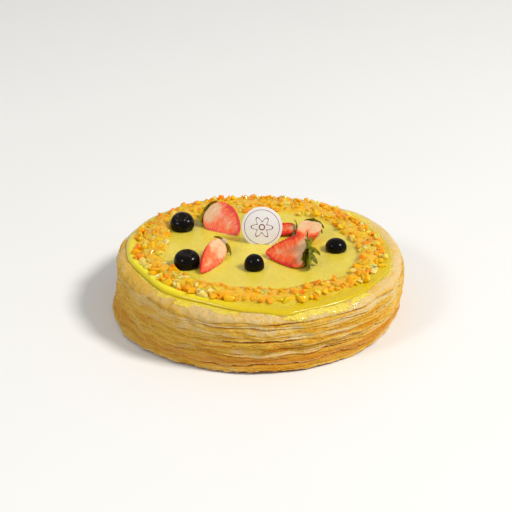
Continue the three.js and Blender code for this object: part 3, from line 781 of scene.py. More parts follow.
def glaze_material(settings):
    """Fruit glaze: milky over the crepe, deep yellow at the rim with painted light along the raised bead, and
    amber between the chopped fruit.
    """
    material, tree, shader = new_material(
        "Fruit glaze", Subsurface_Weight=0.8, Subsurface_Scale=0.004, Subsurface_Radius=(1.0, 0.8, 0.1),
        Specular_IOR_Level=0.35, Coat_Weight=0.3, Coat_Roughness=0.08)
    even = object_space(tree)
    cloud = patches(tree, even, 0.035, 0.35, 0.75, settings.middle, settings.rim)["Mask"]
    thin = mixed(tree, times(tree, cloud, 0.2), settings.middle, settings.rim)
    # Painted light: the raised bead goes brighter toward its crest.
    bead = attribute(tree, "bead")
    bead_lit = mixed(tree, bead, settings.rim, settings.syrup)
    thick = mixed(tree, maths(tree, "MAXIMUM", attribute(tree, "rim"), bead), thin, bead_lit)
    juice = grain(tree, even, 0.16, 3.0, 0.6)
    stained = times(tree, attribute(tree, "ring"), span(tree, juice, 0.3, 0.62, 0.65, 1.0))
    juicy = mixed(tree, stained, thick, settings.juice)
    ripe = times(tree, attribute(tree, "stain"), 0.7)
    add_relief(tree, shader, even, 0.06, 0.5, 0.12, 0.5)
    feed_all(tree, shader, Base_Color=mixed(tree, ripe, juicy, settings.ripe),
             Roughness=span(tree, juice, 0.3, 0.7, 0.2, 0.3))
    return material


def fruit_bit_material(name, colour, deep, clear):
    """Chopped fruit in glaze, each piece between two colours. Light goes clear millimetres deep."""
    material, tree, shader = new_material(
        name, Roughness=0.22, Subsurface_Weight=0.9, Subsurface_Scale=clear * MM,
        Subsurface_Radius=(1.0, 0.75, 0.15), Specular_IOR_Level=0.08, Coat_Weight=0.55, Coat_Roughness=0.03)
    even = object_space(tree)
    own = mixed(tree, attribute(tree, "shade"), colour, deep)
    add_relief(tree, shader, even, 0.45, 1.2, 0.3, 0.6)
    feed_all(tree, shader, Base_Color=patches(tree, even, 0.3, 0.4, 0.7, own, deep)["Color"])
    return material


def blueberry_material(settings):
    """Dark glossy skin with a faint bloom, and a dull brown crown."""
    material, tree, shader = new_material(
        "Blueberry skin", Specular_IOR_Level=0.05, Coat_Weight=0.2, Coat_Roughness=0.03)
    even = object_space(tree)
    bloom = patches(tree, even, 0.25, 0.45, 0.8, settings.berry, BERRY_BLOOM)["Color"]
    crown = attribute(tree, "crown")
    add_relief(tree, shader, even, 0.5, 2.0, 0.4, mixed_value(tree, crown, 0.1, 0.6))
    feed_all(tree, shader, Base_Color=mixed(tree, crown, bloom, settings.crown),
             Roughness=span(tree, crown, 0.0, 1.0, 0.2, 0.6))
    return material


def strawberry_material(settings):
    """Skin outside. On the cut face pale flesh round an orange core, and a red margin with fine pale rays."""
    material, tree, shader = new_material(
        "Strawberry", Subsurface_Weight=0.25, Subsurface_Scale=0.0012, Subsurface_Radius=(1.0, 0.35, 0.15),
        Coat_Weight=0.15, Coat_Roughness=0.15)
    even = object_space(tree)
    flat = node(tree, "ShaderNodeUVMap", uv_map="cut_plane").outputs["UV"]
    rays = span(tree, grain(tree, flat, 0.85, 2.0, 0.6), 0.3, 0.7)
    mottle = grain(tree, even, 0.35, 3.0, 0.6)
    depth = attribute(tree, "margin")
    frayed = maths(tree, "SUBTRACT", depth, swing(tree, rays, 0.24))
    frayed = plus(tree, frayed, swing(tree, mottle, 0.3))
    white = attribute(tree, "white")
    streaks = span(tree, rays, 0.2, 0.7, 0.3, 0.0)
    heart = mixed(tree, streaks, mixed(tree, white, settings.heart, settings.hull), settings.flesh)
    inner = mixed(tree, span(tree, frayed, 0.05, 0.6), heart, settings.flesh)
    inside_skin = span(tree, depth, 0.8, 0.98, 1.0, 0.0)
    pale_rays = times(tree, span(tree, rays, 0.55, 0.95, 0.0, 0.4), inside_skin)
    rayed = mixed(tree, pale_rays, inner, settings.heart)
    outer = mixed(tree, span(tree, frayed, 0.78, 1.0), rayed, settings.skin)
    cut_colour = mixed(tree, attribute(tree, "core"), outer, settings.core)
    skin = patches(tree, even, 0.12, 0.4, 0.75, settings.skin, DEEP_SKIN)["Color"]
    whole_colour = mixed(tree, white, skin, settings.heart)
    add_relief(tree, shader, even, 0.5, 2.2, 0.4, 0.2)
    feed_all(tree, shader, Base_Color=mixed(tree, attribute(tree, "cut"), whole_colour, cut_colour),
             Roughness=span(tree, rays, 0.3, 0.7, 0.3, 0.45))
    return material


def seed_material():
    """Golden seeds, browner in patches."""
    material, tree, shader = new_material("Strawberry seed", Roughness=0.4)
    colour = patches(tree, object_space(tree), 0.6, 0.4, 0.7, SEED, SEED_SHADE)["Color"]
    feed_all(tree, shader, Base_Color=colour)
    return material


def leaf_material(settings):
    """Leaves from young to old, mottled with dry patches and painted shade, with a lighter vein, and the
    stalk's stub.
    """
    material, tree, shader = new_material(
        "Strawberry leaf", Roughness=0.45, Subsurface_Weight=0.12, Subsurface_Scale=0.001,
        Specular_IOR_Level=0.2)
    even = object_space(tree)
    tint = patches(tree, even, 0.16, 0.38, 0.64, settings.leaf, settings.dry_and_shaded_leaf)["Color"]
    aged = mixed(tree, attribute(tree, "age"), settings.young_leaf, tint)
    vein = span(tree, attribute(tree, "vein"), 0.0, 1.0, 0.0, 0.4)
    veined = mixed(tree, vein, aged, LEAF_VEIN)
    add_relief(tree, shader, even, 0.7, 3.0, 0.4, 0.3)
    feed_all(tree, shader, Base_Color=mixed(tree, attribute(tree, "stalk"), veined, settings.stalk))
    return material


def badge_material(settings):
    """Coated card with a plain printed ring and rosette."""
    material, tree, shader = new_material("Badge card", Roughness=0.38, Specular_IOR_Level=0.4)
    flat = node(tree, "ShaderNodeUVMap", uv_map="face").outputs["UV"]
    distance = node(tree, "ShaderNodeVectorMath", operation="LENGTH")
    radius = feed_row(tree, distance, (0,), (flat,)).outputs["Value"]
    parts = axes(tree, flat)
    turn = maths(tree, "ARCTAN2", parts["Y"], parts["X"])
    petal = maths(tree, "COSINE", times(tree, turn, PETALS))
    outline = plus(tree, ROSETTE, times(tree, petal, PETAL_REACH))
    ink = 0.0
    for line, width in ((PRINT_RING, THIN_STROKE), (outline, STROKE), (ROSETTE_EYE, STROKE)):
        stroke = span(tree, apart(tree, radius, line), width * 0.7, width, 1.0, 0.0)
        ink = maths(tree, "MAXIMUM", ink, stroke)
    even = object_space(tree)
    card = patches(tree, even, 0.15, 0.3, 0.8, settings.card, CARD_SHADE)["Color"]
    add_relief(tree, shader, even, 0.3, 4.0, 0.3, 0.06)
    feed_all(tree, shader, Base_Color=mixed(tree, ink, card, settings.print_colour))
    return material


def floor_material(settings):
    """A plain pale floor, a little uneven."""
    material, tree, shader = new_material("Pale floor", Roughness=0.6)
    tone = patches(tree, object_space(tree), 0.004, 0.2, 0.9, settings.floor, FLOOR_SHADE)["Color"]
    feed_all(tree, shader, Base_Color=tone)
    return material


# ================================================================ crepes
def smoothness(angle):
    """1 where the wall is smooth and its edges hardly show, 0 elsewhere."""
    return bump(angle, SMOOTH_SIDE, SMOOTH_WIDTH)


def sheet_lip(layer, index, angle):
    """Height of the edge of one folded sheet of a band."""
    low = lip_height(layer, angle)
    rough = ring_noise(angle, 0, 21, 1, 400 + layer) + 0.5 * ring_noise(angle, 0, 9, 1, 420 + layer)
    wander = LIP_WANDER * rough
    if layer >= len(SHEETS):
        return low + 0.7 * wander
    if index == 0:
        return low + (wander if layer else 0.4 * wander)
    share = (index + 1.2 * ring_noise(angle, 0, 24, 1, 3 * layer + index)) / SHEETS[layer]
    return between(low, lip_height(layer + 1, angle), share)


def overhang(layer, index, angle):
    """How far the sheet below draws back under a sheet's edge: nothing in places, a crevice in others."""
    cloud = ring_noise(angle, 0, 24, 1, 130 + 5 * layer + index)
    if index == 0:
        deepest, strength = MAIN_OVERHANG, 0.12 + 0.88 * blend(-0.25, 0.4, cloud)
    else:
        deepest, strength = SUB_OVERHANG, blend(0.0, 0.4, cloud)
    if (layer, index) == OPEN_SHEET:
        strength = max(strength, OPEN_LEAST)
    crevice = 0.0
    if (layer, index) == CREVICE_SHEET:
        crevice = CREVICE_DEPTH * bump(angle, CREVICE_MIDDLE, CREVICE_WIDTH)
    return 0.02 + deepest * strength * (1 - 0.88 * smoothness(angle)) + crevice


def wall_relief(angle, height, depth):
    """Soft folds and wrinkles that all sheets share, in millimetres."""
    calm = smoothness(angle)
    fold = ring_noise(angle, height, 16, 30, 1)
    slanted = ring_noise(angle + height / 70, height, 9, 16, 2)
    pleated = creases(angle - height / 45, height, 22, 7, 3, 2.2)
    creased = creases(angle + height / 90, height, 5.0, 3.0, 4)
    return (depth * (0.75 * fold + (0.35 + 0.9 * calm) * slanted) + PLEAT * pleated
            + WRINKLE * (1 - 0.7 * calm) * creased)


def sheet_tone(seed, angle, height):
    """How brown a sheet is: 0 pale, 1 golden."""
    own = seeded_random(600 + seed)()
    cloud = ring_noise(angle, height, 34, 9, 220 + seed)
    return 0.5 - 0.3 * blend(28, 34, height) + 0.3 * (own - 0.5) + 0.6 * cloud


def sheet_column(layer, index, angle, fold, ragged):
    """One folded sheet in section: hidden top, wall, edge and underside, as points with their attributes."""
    seed = 5 * layer + index
    above = (layer, index + 1) if index + 1 < SHEETS[layer] else (layer + 1, 0)
    lip = sheet_lip(layer, index, angle)
    upper = sheet_lip(*above, angle)
    calm = smoothness(angle)
    torn = ragged * tears(angle, 5.0, 1.9, 31 + seed, 53 + seed) * (1 - 0.6 * calm)
    torn *= 1.0 if index == 0 else 0.6
    lip += torn * (2.4 if (layer, index) in TORN_SHEETS else 1.0)
    tucked = 1.4 * (1 - blend(0.2, 0.9, upper - lip))
    tall = max(upper - lip, 0.6)
    own_gap, gap = overhang(layer, index, angle), overhang(*above, angle)
    uneven = 0.35 * (1 - 0.7 * calm) * ring_noise(angle, 0, 22, 1, 90 + seed)
    reach = wall_radius(layer, angle) - WALL_SETBACK + uneven - tucked
    upper_reach = wall_radius(above[0], angle) - WALL_SETBACK
    rows = []
    for share in SHEET_ROWS:
        covered = max(0.0, share - 1) * min(tall, HIDDEN_RISE)
        height = lip + min(share, 1) * tall + covered
        below_edge = (1 - share) * tall
        groove = gap * (1 - blend(0.0, min(0.9 + 0.55 * gap, 0.75 * tall), below_edge))
        bulge = 0.5 * math.sin(math.pi * min(share, 1.0))
        flare = 0.3 * own_gap * math.exp(-share * tall / 0.8)
        own = 0.16 * ring_noise(angle, height, 3.4, 2.2, 110 + seed)
        radius = (between(reach, upper_reach, blend(0.0, 1.0, share)) - groove + bulge + flare
                  + wall_relief(angle, height, fold) + own)
        radius -= HIDDEN_SLOPE * covered
        # Painted shade just under the edge of the sheet above, where it overhangs.
        recess_shade = (1 - blend(0.0, 0.6 + 0.7 * gap, below_edge)) * min(1.0, 1.1 * gap)
        # Painted highlight along this sheet's own edge, where it overhangs.
        edge = (1 - blend(0.05, 0.8, share * tall)) * blend(0.2, 0.9, own_gap)
        tone = sheet_tone(seed, angle, height)
        rows.append((on_stack(radius, angle, height), recess_shade, edge, tone, 0.0, calm))
    # The edge's underside: a little painted shade, and the painted highlight.
    rows.append((on_stack(radius - 0.14, angle, lip - 0.15), 0.2, edge, 0.5, 0.0, calm))
    underside = ((radius - 0.5, lip - 0.12), (radius - 0.8, lip + 0.1), (reach - 3.6, lip + 0.8),
                 (reach - 5.5, lip + 1.0), (reach - 5.5, lip + tall + 0.7 * min(tall, HIDDEN_RISE)))
    # The underside and hidden top are painted in full shade.
    rows += [(on_stack(inward, angle, height), *SHADED_HIDDEN_SKIN) for inward, height in underside]
    return rows


def wetness(angle, down):
    """Where glaze has run over the last crepe; down goes from 0 at its top edge to 1 at its lip."""
    return max((1 - blend(0.35 * reach, reach, down)) * bump(angle, middle, width)
               for middle, width, reach in WET_RUNS)


def top_column(angle, fold, ragged):
    """The last crepe in section, from the middle of its underside round its edge to the middle of its top."""
    lip = sheet_lip(TOP_BAND, 0, angle)
    wall = wall_radius(TOP_BAND, angle)
    calm = smoothness(angle)
    edge_height = lip + ragged * tears(angle, 6.0, 2.0, 201, 202) * (1 - 0.5 * calm)
    own_gap = overhang(TOP_BAND, 0, angle)
    # Hidden skin is painted in full shade; the edge's underside gets some painted shade and the painted
    # highlight.
    hidden = (1.0, 0.0, 0.3, 0.0, 0.0)
    rows = [(on_stack(0, angle, lip + 2.0), *hidden), (on_stack(wall - 6, angle, lip + 1.2), *hidden),
            (on_stack(wall - 1.2, angle, edge_height + 0.3), *hidden),
            (on_stack(wall - 0.3, angle, edge_height - 0.15), 0.3, 0.6, 0.4, 0.0, calm)]
    for share in SHOULDER_ROWS:
        turn = share * math.pi / 2
        height = between(edge_height, CREPE_TOP, math.sin(turn))
        radius = wall - SHOULDER_WIDTH * (1 - math.cos(turn)) + 0.35 * own_gap * math.exp(-share / 0.1)
        wet = wetness(angle, 1 - share)
        skin = (wall_relief(angle, height, fold) + 0.25 * ring_noise(angle, height, 3.0, 3.0, 210)
                + 0.35 * creases(angle + height / 60, height, 13, 2.0, 213)
                + wet * (0.3 + 1.1 * ring_noise(angle, height, 3.2, 3.0, 212)))
        radius += skin * math.cos(turn)
        height += 0.6 * skin * math.sin(turn)
        # Painted highlight along the last crepe's edge.
        edge = 0.7 * (1 - blend(0.0, 0.08, share))
        # Browning varies at random; the extra on the smooth side is painted shade.
        tone = 0.1 + 0.35 * calm + 0.35 * ring_noise(angle, height, 30, 9, 211)
        tone += 0.25 * (1 - blend(0.0, 0.3, share))
        rows.append((on_stack(radius, angle, height), 0.0, edge, tone, wet, calm))
    under_glaze = (0.0, 0.0, 0.2, 1.0, 0.0)
    rows.append((on_stack(wall - SHOULDER_WIDTH - 2, angle, CREPE_TOP), *under_glaze))
    rows.append((on_stack(0, angle, CREPE_TOP), *under_glaze))
    return rows


def core_column(angle):
    """The plain core behind the sheets in section, painted in full shade."""
    inner = min(wall_radius(layer, angle) for layer in range(len(LIP_HEIGHTS))) - CORE_DEPTH
    outline = ((0, 0), (FOOT_RADIUS, 0), (FOOT_RADIUS + 0.4, 1.5), (inner, 5), (inner, CREPE_TOP - 3),
               (0, CREPE_TOP - 2.9))
    return [(on_stack(radius, angle, height), *SHADED_HIDDEN_SKIN) for radius, height in outline]


class CREPECAKE_OT_crepes(bpy.types.Operator):
    """Make the folded crepes of each band"""
    bl_idname = "crepecake.crepes"
    bl_label = "Crepes"

    def execute(self, context):
        settings = context.scene.crepe_settings
        fold, ragged = settings.fold / MM, settings.ragged / MM
        material = crepe_material(settings, context.scene.glaze_settings.syrup)
        for layer, sheets in enumerate(SHEETS):
            bm = bmesh.new()
            for index in range(sheets):
                join(bm, turned(lambda angle: sheet_column(layer, index, angle, fold, ragged), SEGMENTS, True,
                                CREPE_ATTRIBUTES))
            add_piece(f"crepe_sheets_{layer + 1}", bm, material, [f"crepe_{layer + 1}"])
        top = turned(lambda angle: top_column(angle, fold, ragged), SEGMENTS, False, CREPE_ATTRIBUTES)
        add_piece(f"crepe_sheets_{len(LIP_HEIGHTS)}", top, material, [f"crepe_{len(LIP_HEIGHTS)}"])
        core = turned(core_column, CORE_SEGMENTS, False, CREPE_ATTRIBUTES)
        add_piece("crepe_core", core, material, sharp=40)
        return {"FINISHED"}


# ================================================================ glaze
def glaze_column(angle):
    """The glaze in section, from the middle of its underside round its rolled edge to that of its top."""
    edge = glaze_radius(angle) + 0.25 * ring_noise(angle, 0, 12, 1, 301)
    hang = min(shoulder_height(edge, angle), CREPE_TOP) - RIM_SINK
    raised = bump(angle, RAISED_MIDDLE, RAISED_WIDTH)
    depth = ROLL_DEPTH - RAISED_NARROWER * raised
    crest = max(GLAZE_TOP + ROLL_CREST + RAISED_CREST * raised, hang + 2.4)
    belly = hang + 0.9
    rows = [(on_stack(0, angle, CREPE_TOP + 0.1), *PLAIN_GLAZE),
            (on_stack(edge - 6, angle, CREPE_TOP + 0.1), *RIM_GLAZE),
            (on_stack(edge - 1.2, angle, hang - 0.3), *RIM_GLAZE)]
    for turn in (-60, -30):
        around = math.radians(turn)
        point = on_stack(edge - 0.4 + 0.4 * math.cos(around), angle, belly + 0.9 * math.sin(around))
        rows.append((point, *RIM_GLAZE))
    # The last value paints light along the raised bead, strongest at its crest.
    for turn in range(0, 91, 9):
        around = math.radians(turn)
        level, across = math.sin(around), math.cos(around)
        plump = fullness(level, across, ROLL_FULLNESS)
        height = belly + (crest - belly) * level * plump
        point = on_stack(edge - depth * (1 - across * plump), angle, height)
        rows.append((point, 1.0, 0.0, 0.0, raised * (0.4 + 0.6 * level)))
    for back in ROLL_BACK:
        fall = blend(0.0, ROLL_BACK[-1], back)
        rim = (1 - 0.4 * fall) * (1 - 0.7 * raised)
        point = on_stack(edge - depth - back, angle, between(crest, GLAZE_TOP, fall))
        rows.append((point, rim, 0.0, 0.0, raised * (1 - fall)))
    inner, outer = ring_inner(angle), ring_outer(angle)
    for radius in GLAZE_RADII:
        radius = min(radius, edge - 10.0 - 0.3 * (GLAZE_RADII[0] - radius) / GLAZE_RADII[0])
        point = on_stack(radius, angle, GLAZE_TOP)
        ring = blend(inner - 3, inner + 1, radius) * (1 - blend(outer - 1.0, outer + 1.5, radius))
        bed = ring * blend(0.0, 2.0, edge - 9.6 - radius)
        point.z += 0.12 * noise.noise(point / 22) + bed * (RING_BED + 0.8 * noise.noise(point / 3.0))
        stain = ring * (1 - blend(0.3, 0.7, clump(point)))
        rows.append((point, 0.5 * blend(58, 80, radius), ring, stain, 0.0))
    rows.append((on_stack(0, angle, GLAZE_TOP), *PLAIN_GLAZE))
    return rows


def ring_inner(angle):
    """Inner edge of the ring of chopped fruit."""
    return shaped(RING_INNER, INNER_LOBES, angle) + RING_RIPPLE * math.cos(9 * angle)


def ring_outer(angle):
    """Outer edge of the ring of chopped fruit."""
    return min(shaped(RING_OUTER, OUTER_LOBES, angle), glaze_radius(angle) - RIM_ROOM)


def bit_turns(draw):
    """Shares of the size, slopes with the turn, and lift of one piece, in the order that the solids use."""
    shares = (0.85 + 0.3 * draw(), 0.6 + 0.3 * draw(), 0.5 + 0.25 * draw())
    slopes = (0.7 * (draw() - 0.5), 0.7 * (draw() - 0.5), draw() * TAU)
    return shares, slopes, 0.5 * draw()


def large_bits(spots):
    """Place, size, shares, slopes and lift of each large piece, in the order that the solids use."""
    draw = seeded_random(LARGE_SEED)
    for step in range(LARGE_BITS):
        angle = (step + 0.8 * draw()) * TAU / LARGE_BITS
        lane = ((step * LANE_STRIDE) % LANES + draw()) / LANES
        place = on_stack(between(ring_inner(angle), ring_outer(angle), lane), angle, CREPE_TOP)
        size = between(*LARGE_SIZES, draw())
        turns = bit_turns(draw)
        if clear_of(spots, place, 1.5):
            yield place, size, *turns


def small_bits(tries, spots, taken):
    """The same of each small piece that finds room between the pieces in taken."""
    draw = seeded_random(SMALL_SEED)
    for _ in range(tries):
        angle = draw() * TAU
        radius = between(ring_inner(angle) - 1, ring_outer(angle) + 0.5, draw())
        place = on_stack(radius, angle, CREPE_TOP)
        size = between(*SMALL_SIZES, draw())
        shares, slopes, lift = bit_turns(draw)
        shares = [share * slimmer for share, slimmer in zip(shares, SMALL_SLIMMER)]
        slopes = (SMALL_TILT * slopes[0], SMALL_TILT * slopes[1], slopes[2])
        crowd = noise.noise(Vector((place.x / 9, place.y / 9, 4.0)))
        if crowd < SPARSE_BELOW or not clear_of(spots, place, 1.2):
            continue
        if all((place - other).length >= SMALL_SPACING * (size + near) for other, near in taken):
            yield place, size, shares, slopes, lift + 0.1


def clump(place):
    """Which fruit lies at a place: low where it is orange, high where it is pale."""
    return 0.5 + 0.9 * noise.noise(Vector((place.x, place.y, 0)) / 8)


def topping_spots():
    """Middle and half size of each berry, in millimetres."""
    spots = []
    for name in [*CROWNS, *(f"strawberry_{index + 1}" for index in range(len(STRAWBERRIES)))]:
        low, high = (PLACE.inverted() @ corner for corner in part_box(name))
        spots.append(((low + high) / 2, (high - low) / 2))
    return spots


def clear_of(spots, point, margin):
    """Whether a point of the ring is clear of the berries."""
    return all(math.hypot((point.x - middle.x) / (half.x + margin),
                          (point.y - middle.y) / (half.y + margin)) >= 1 for middle, half in spots)


def fruit_kind(place, value):
    """Orange and pale fruit lie in clumps, with golden between."""
    value = 0.35 * value + 0.65 * clump(place)
    if value < ORANGE_BELOW:
        return "orange"
    return "golden" if value < PALE_FROM else "pale"


def bit_mesh(shares, size, slopes, place, lift, draw):
    """One chopped piece: a block with blunt edges and a little out of shape."""
    bm = bmesh.new()
    bmesh.ops.create_cube(bm, size=1)
    for vert in bm.verts:
        vert.co += 0.5 * Vector((draw() - 0.5, draw() - 0.5, draw() - 0.5))
    bmesh.ops.bevel(bm, geom=bm.edges[:], offset=0.16, affect="EDGES", segments=2, profile=0.5, material=-1)
    shade = bm.verts.layers.float.new("shade")
    tint = draw()
    for vert in bm.verts:
        vert[shade] = tint
    long, wide, high = (share * size for share in shares)
    turn = (Matrix.Rotation(slopes[2], 4, "Z") @ Matrix.Rotation(slopes[1], 4, "Y")
            @ Matrix.Rotation(slopes[0], 4, "X"))
    centre = Vector((place.x, place.y, GLAZE_TOP + 0.18 * high + lift))
    bmesh.ops.transform(bm, verts=bm.verts,
                        matrix=Matrix.Translation(centre) @ turn @ Matrix.Diagonal((long, wide, high, 1)))
    return bm


class CREPECAKE_OT_glaze(bpy.types.Operator):
    """Make the glaze, its wet runs and the ring of chopped fruit"""
    bl_idname = "crepecake.glaze"
    bl_label = "Glaze and chopped fruit"

    def execute(self, context):
        settings = context.scene.glaze_settings
        material = glaze_material(settings)
        bm = turned(glaze_column, SEGMENTS, False, GLAZE_ATTRIBUTES)
        add_piece("glaze_poured", bm, material, ["glaze"])
        self.add_bits(settings)
        return {"FINISHED"}

    def add_bits(self, settings):
        looks = {
            "orange": (settings.orange, settings.ripe, 3.4),
            "golden": (settings.golden, settings.juice, 3.4),
            "pale": (settings.pale, settings.clear, 4.5),
        }
        kinds = {name: bmesh.new() for name in looks}
        shape = seeded_random(SHAPE_SEED)
        spots = topping_spots()
        taken = []
        for bits in (large_bits(spots), small_bits(settings.small_bits, spots, taken)):
            for place, size, shares, slopes, lift in bits:
                taken.append((place, size))
                kind = kinds[fruit_kind(place, shape())]
                join(kind, bit_mesh(shares, size, slopes, place, lift, shape))
        for name, look in looks.items():
            material = fruit_bit_material(f"Chopped fruit {name}", *look)
            add_piece(f"chopped_fruit_{name}", kinds[name], material)


# ================================================================ blueberries
def blueberry_mesh(node_name, tilt):
    """A plump berry that fills its node's box and sits in the glaze, with a low rim round a cup on top."""
    low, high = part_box(node_name)
    radius = (high.x - low.x + high.y - low.y) / 4 / MM
    lift = BERRY_LIFT if tilt else SUNK_BERRY_LIFT
    upper, lower = high.z / MM - GLAZE_TOP - lift, lift + BERRY_ROOT
    if tilt:
        upper /= CROWN_RISE
    upper_power, lower_power = CROWNED_POWERS if tilt else SUNK_POWERS
    bm = bmesh.new()
    bmesh.ops.create_uvsphere(bm, u_segments=BERRY_COLUMNS, v_segments=BERRY_ROWS, radius=1)
    crown = bm.verts.layers.float.new("crown")
    for vert in bm.verts:
        turn = math.atan2(vert.co.y, vert.co.x)
        polar = math.acos(min(max(vert.co.z, -1), 1))
        star = 0.5 + 0.5 * math.cos(5 * turn + 0.4 * math.sin(2 * turn))
        uneven = 1 + 0.03 * noise.noise(vert.co * 1.6 + Vector((radius, 0, 0)))
        power = upper_power if polar < math.pi / 2 else lower_power
        level, across = abs(math.cos(polar)), math.sin(polar)
        plump = fullness(level, across, power)
        reach, height = across * plump, math.copysign(level * plump, math.cos(polar))
        if tilt:
            rim_at = 0.38 + 0.10 * star
            ridge = math.exp(-((polar - rim_at) / 0.08) ** 2)
            cup = 1 - blend(0.0, rim_at, polar)
            rough = noise.noise(vert.co * 9 + Vector((0, radius, 0)))
            height += (0.02 + 0.05 * star + 0.03 * rough) * ridge - 0.16 * blend(0.0, 0.5, cup)
            height += 0.012 * rough * cup
            vert[crown] = min(1.0, ridge + 0.3 * blend(0.0, 0.25, cup))
        else:
            scar = math.exp(-((polar - 0.16) / 0.05) ** 2)
            height -= 0.012 * scar
            vert[crown] = 0.5 * math.exp(-((polar - 0.1) / 0.14) ** 2)
        tall = upper if height > 0 else lower
        round_place = (radius * reach * math.cos(turn), radius * reach * math.sin(turn), tall * height)
        vert.co = Vector(round_place) * uneven
    if tilt:
        lean = Matrix.Rotation(tilt[0], 4, "Y") @ Matrix.Rotation(-tilt[1], 4, "X")
        bmesh.ops.transform(bm, matrix=lean, verts=bm.verts)
    middle = PLACE.inverted() @ ((low + high) / 2)
    bmesh.ops.translate(bm, vec=(middle.x, middle.y, GLAZE_TOP + lift), verts=bm.verts)
    return bm


class CREPECAKE_OT_blueberries(bpy.types.Operator):
    """Make the blueberries"""
    bl_idname = "crepecake.blueberries"
    bl_label = "Blueberries"

    def execute(self, context):
        material = blueberry_material(context.scene.fruit_settings)
        for name, tilt in CROWNS.items():
            add_piece(f"{name}_skin", blueberry_mesh(name, tilt), material, [name])
        return {"FINISHED"}


# ================================================================ strawberries
def fruit_matrix(piece):
    """From a piece's own axes (X along the berry, Z out of the cut face) to its place on the cake."""
    hull = Vector(piece["hull"])
    along = (Vector(piece["tip"]) - hull).normalized()
    across = Vector(piece["facing"]).cross(along).normalized()
    facing = along.cross(across)
    turn = Matrix((along, across, facing)).transposed().to_4x4()
    return Matrix.Translation(hull) @ turn


def fruit_length(piece):
    """Length of the berry from its stalk end to its tip."""
    return (Vector(piece["tip"]) - Vector(piece["hull"])).length


def fruit_half_width(piece, along):
    """Half width of the berry at a share of its length."""
    if not 0 < along < 1:
        return 0.0
    bend = math.log(0.5) / math.log(piece["widest"])
    power = SHOULDER_FULLNESS if along < piece["widest"] else piece["taper"]
    return 0.5 * piece["width"] * math.sin(math.pi * along ** bend) ** power


def seed_rows(piece):
    """Places of the seeds on the skin: share of the length and angle round the back, in a staggered net."""
    length = fruit_length(piece)
    rows = []
    step = SEED_ROW_STEP / length
    along, odd = 0.1, 0
    while along < 0.95:
        half = fruit_half_width(piece, along)
        count = max(3, round(math.pi * half / SEED_SPACING))
        rows += [(along, math.pi * (index + 0.5 + 0.5 * odd) / count) for index in range(count - odd)]
        along += step
        odd = 1 - odd
    return rows


def edge_lobes(piece, along, index):
    """How far the cut edge draws in between the lobes of the skin, in millimetres."""
    place = fruit_length(piece) * along / LOBE_SPACING + 0.35 * math.sin(7 * along + index)
    return LOBE_DEPTH * (0.5 + 0.5 * math.cos(TAU * place)) ** 3 * blend(0.15, 0.35, along)


def fruit_mesh(piece, index):
    """Half a berry from a grid: columns go across the cut face and back round the skin, rows along it."""
    length, depth = fruit_length(piece), piece["depth"] / (0.5 * piece["width"])
    columns = FACE_COLUMNS + SKIN_COLUMNS
    bm = bmesh.new()
    bmesh.ops.create_grid(bm, x_segments=FRUIT_ROWS, y_segments=columns, size=1)
    layers = [bm.verts.layers.float.new(name) for name in ("cut", "margin", "core", "white")]
    places, rays = {}, {}
    seeds = seed_rows(piece)
    for vert in bm.verts:
        along = ((vert.co.x + 1) / 2) ** 1.25
        column = round((vert.co.y + 1) / 2 * columns)
        half = fruit_half_width(piece, along)
        closing = blend(0.0, 0.04, along) * blend(0.0, 0.04, 1 - along)
        lobes = edge_lobes(piece, along, index) * closing
        white = 1 - blend(piece["white"] - 0.14, piece["white"] + 0.14, along)
        if column <= FACE_COLUMNS:
            side = -math.cos(math.pi * column / FACE_COLUMNS)
            reach = abs(side)
            tipward = blend(0.62, 1.0, along)
            hollow = -0.35 * math.exp(-((side / 0.25) ** 2)) * blend(0.05, 0.3, along) * (1 - tipward)
            fibres = 0.10 * noise.noise(Vector((length * along / 1.4, 2.5 * reach, index)))
            sag = (hollow + fibres) * (1 - side ** 8) * closing
            place = Vector((length * along, (half - lobes * reach ** 6) * side, sag))
            bare_end = (0.5 + 0.4 * piece["bare"]) * (1 - 0.6 * (1 - piece["bare"]) * reach ** 6)
            margin = math.hypot(reach, 0.8 * tipward) + piece["red"] * (1 - white) - white * bare_end
            core = 0.9 * math.exp(-((side / piece["core"]) ** 2) - ((along - CORE_MIDDLE) / CORE_LENGTH) ** 2)
            values = (1.0, min(max(margin, 0.0), 1.0), core, white)
            ray = length * along - RAY_SLANT * half * reach
            rays[vert] = (ray, 40 * (side > 0) + 10 * index + 1.2 * reach)
        else:
            around = math.pi * (column - FACE_COLUMNS) / SKIN_COLUMNS
            out = 1.0 - lobes / max(half, 1.0) * math.exp(-((math.sin(around) / 0.3) ** 2))
            for seed_along, seed_around in seeds:
                away = math.hypot((along - seed_along) * length, (around - seed_around) * half)
                if away < DIMPLE_RADIUS:
                    out -= DIMPLE_DEPTH / max(half, 2.0) * (1 - blend(0.0, DIMPLE_RADIUS, away))
            across, down = half * math.cos(around) * out, -half * depth * math.sin(around) * out
            place = Vector((length * along, across, down))
            values = (0.0, 1.0, 0.0, 0.7 * white)
            rays[vert] = (length * along, -40.0)
        places[vert] = place
        for layer, value in zip(layers, values):
            vert[layer] = value
    flat = bm.loops.layers.uv.new("cut_plane")
    for vert, place in places.items():
        vert.co = place
        for loop in vert.link_loops:
            loop[flat].uv = rays[vert]
    bmesh.ops.remove_doubles(bm, verts=bm.verts, dist=2e-3)
    bmesh.ops.recalc_face_normals(bm, faces=bm.faces)
    bmesh.ops.transform(bm, matrix=fruit_matrix(piece), verts=bm.verts)
    return bm


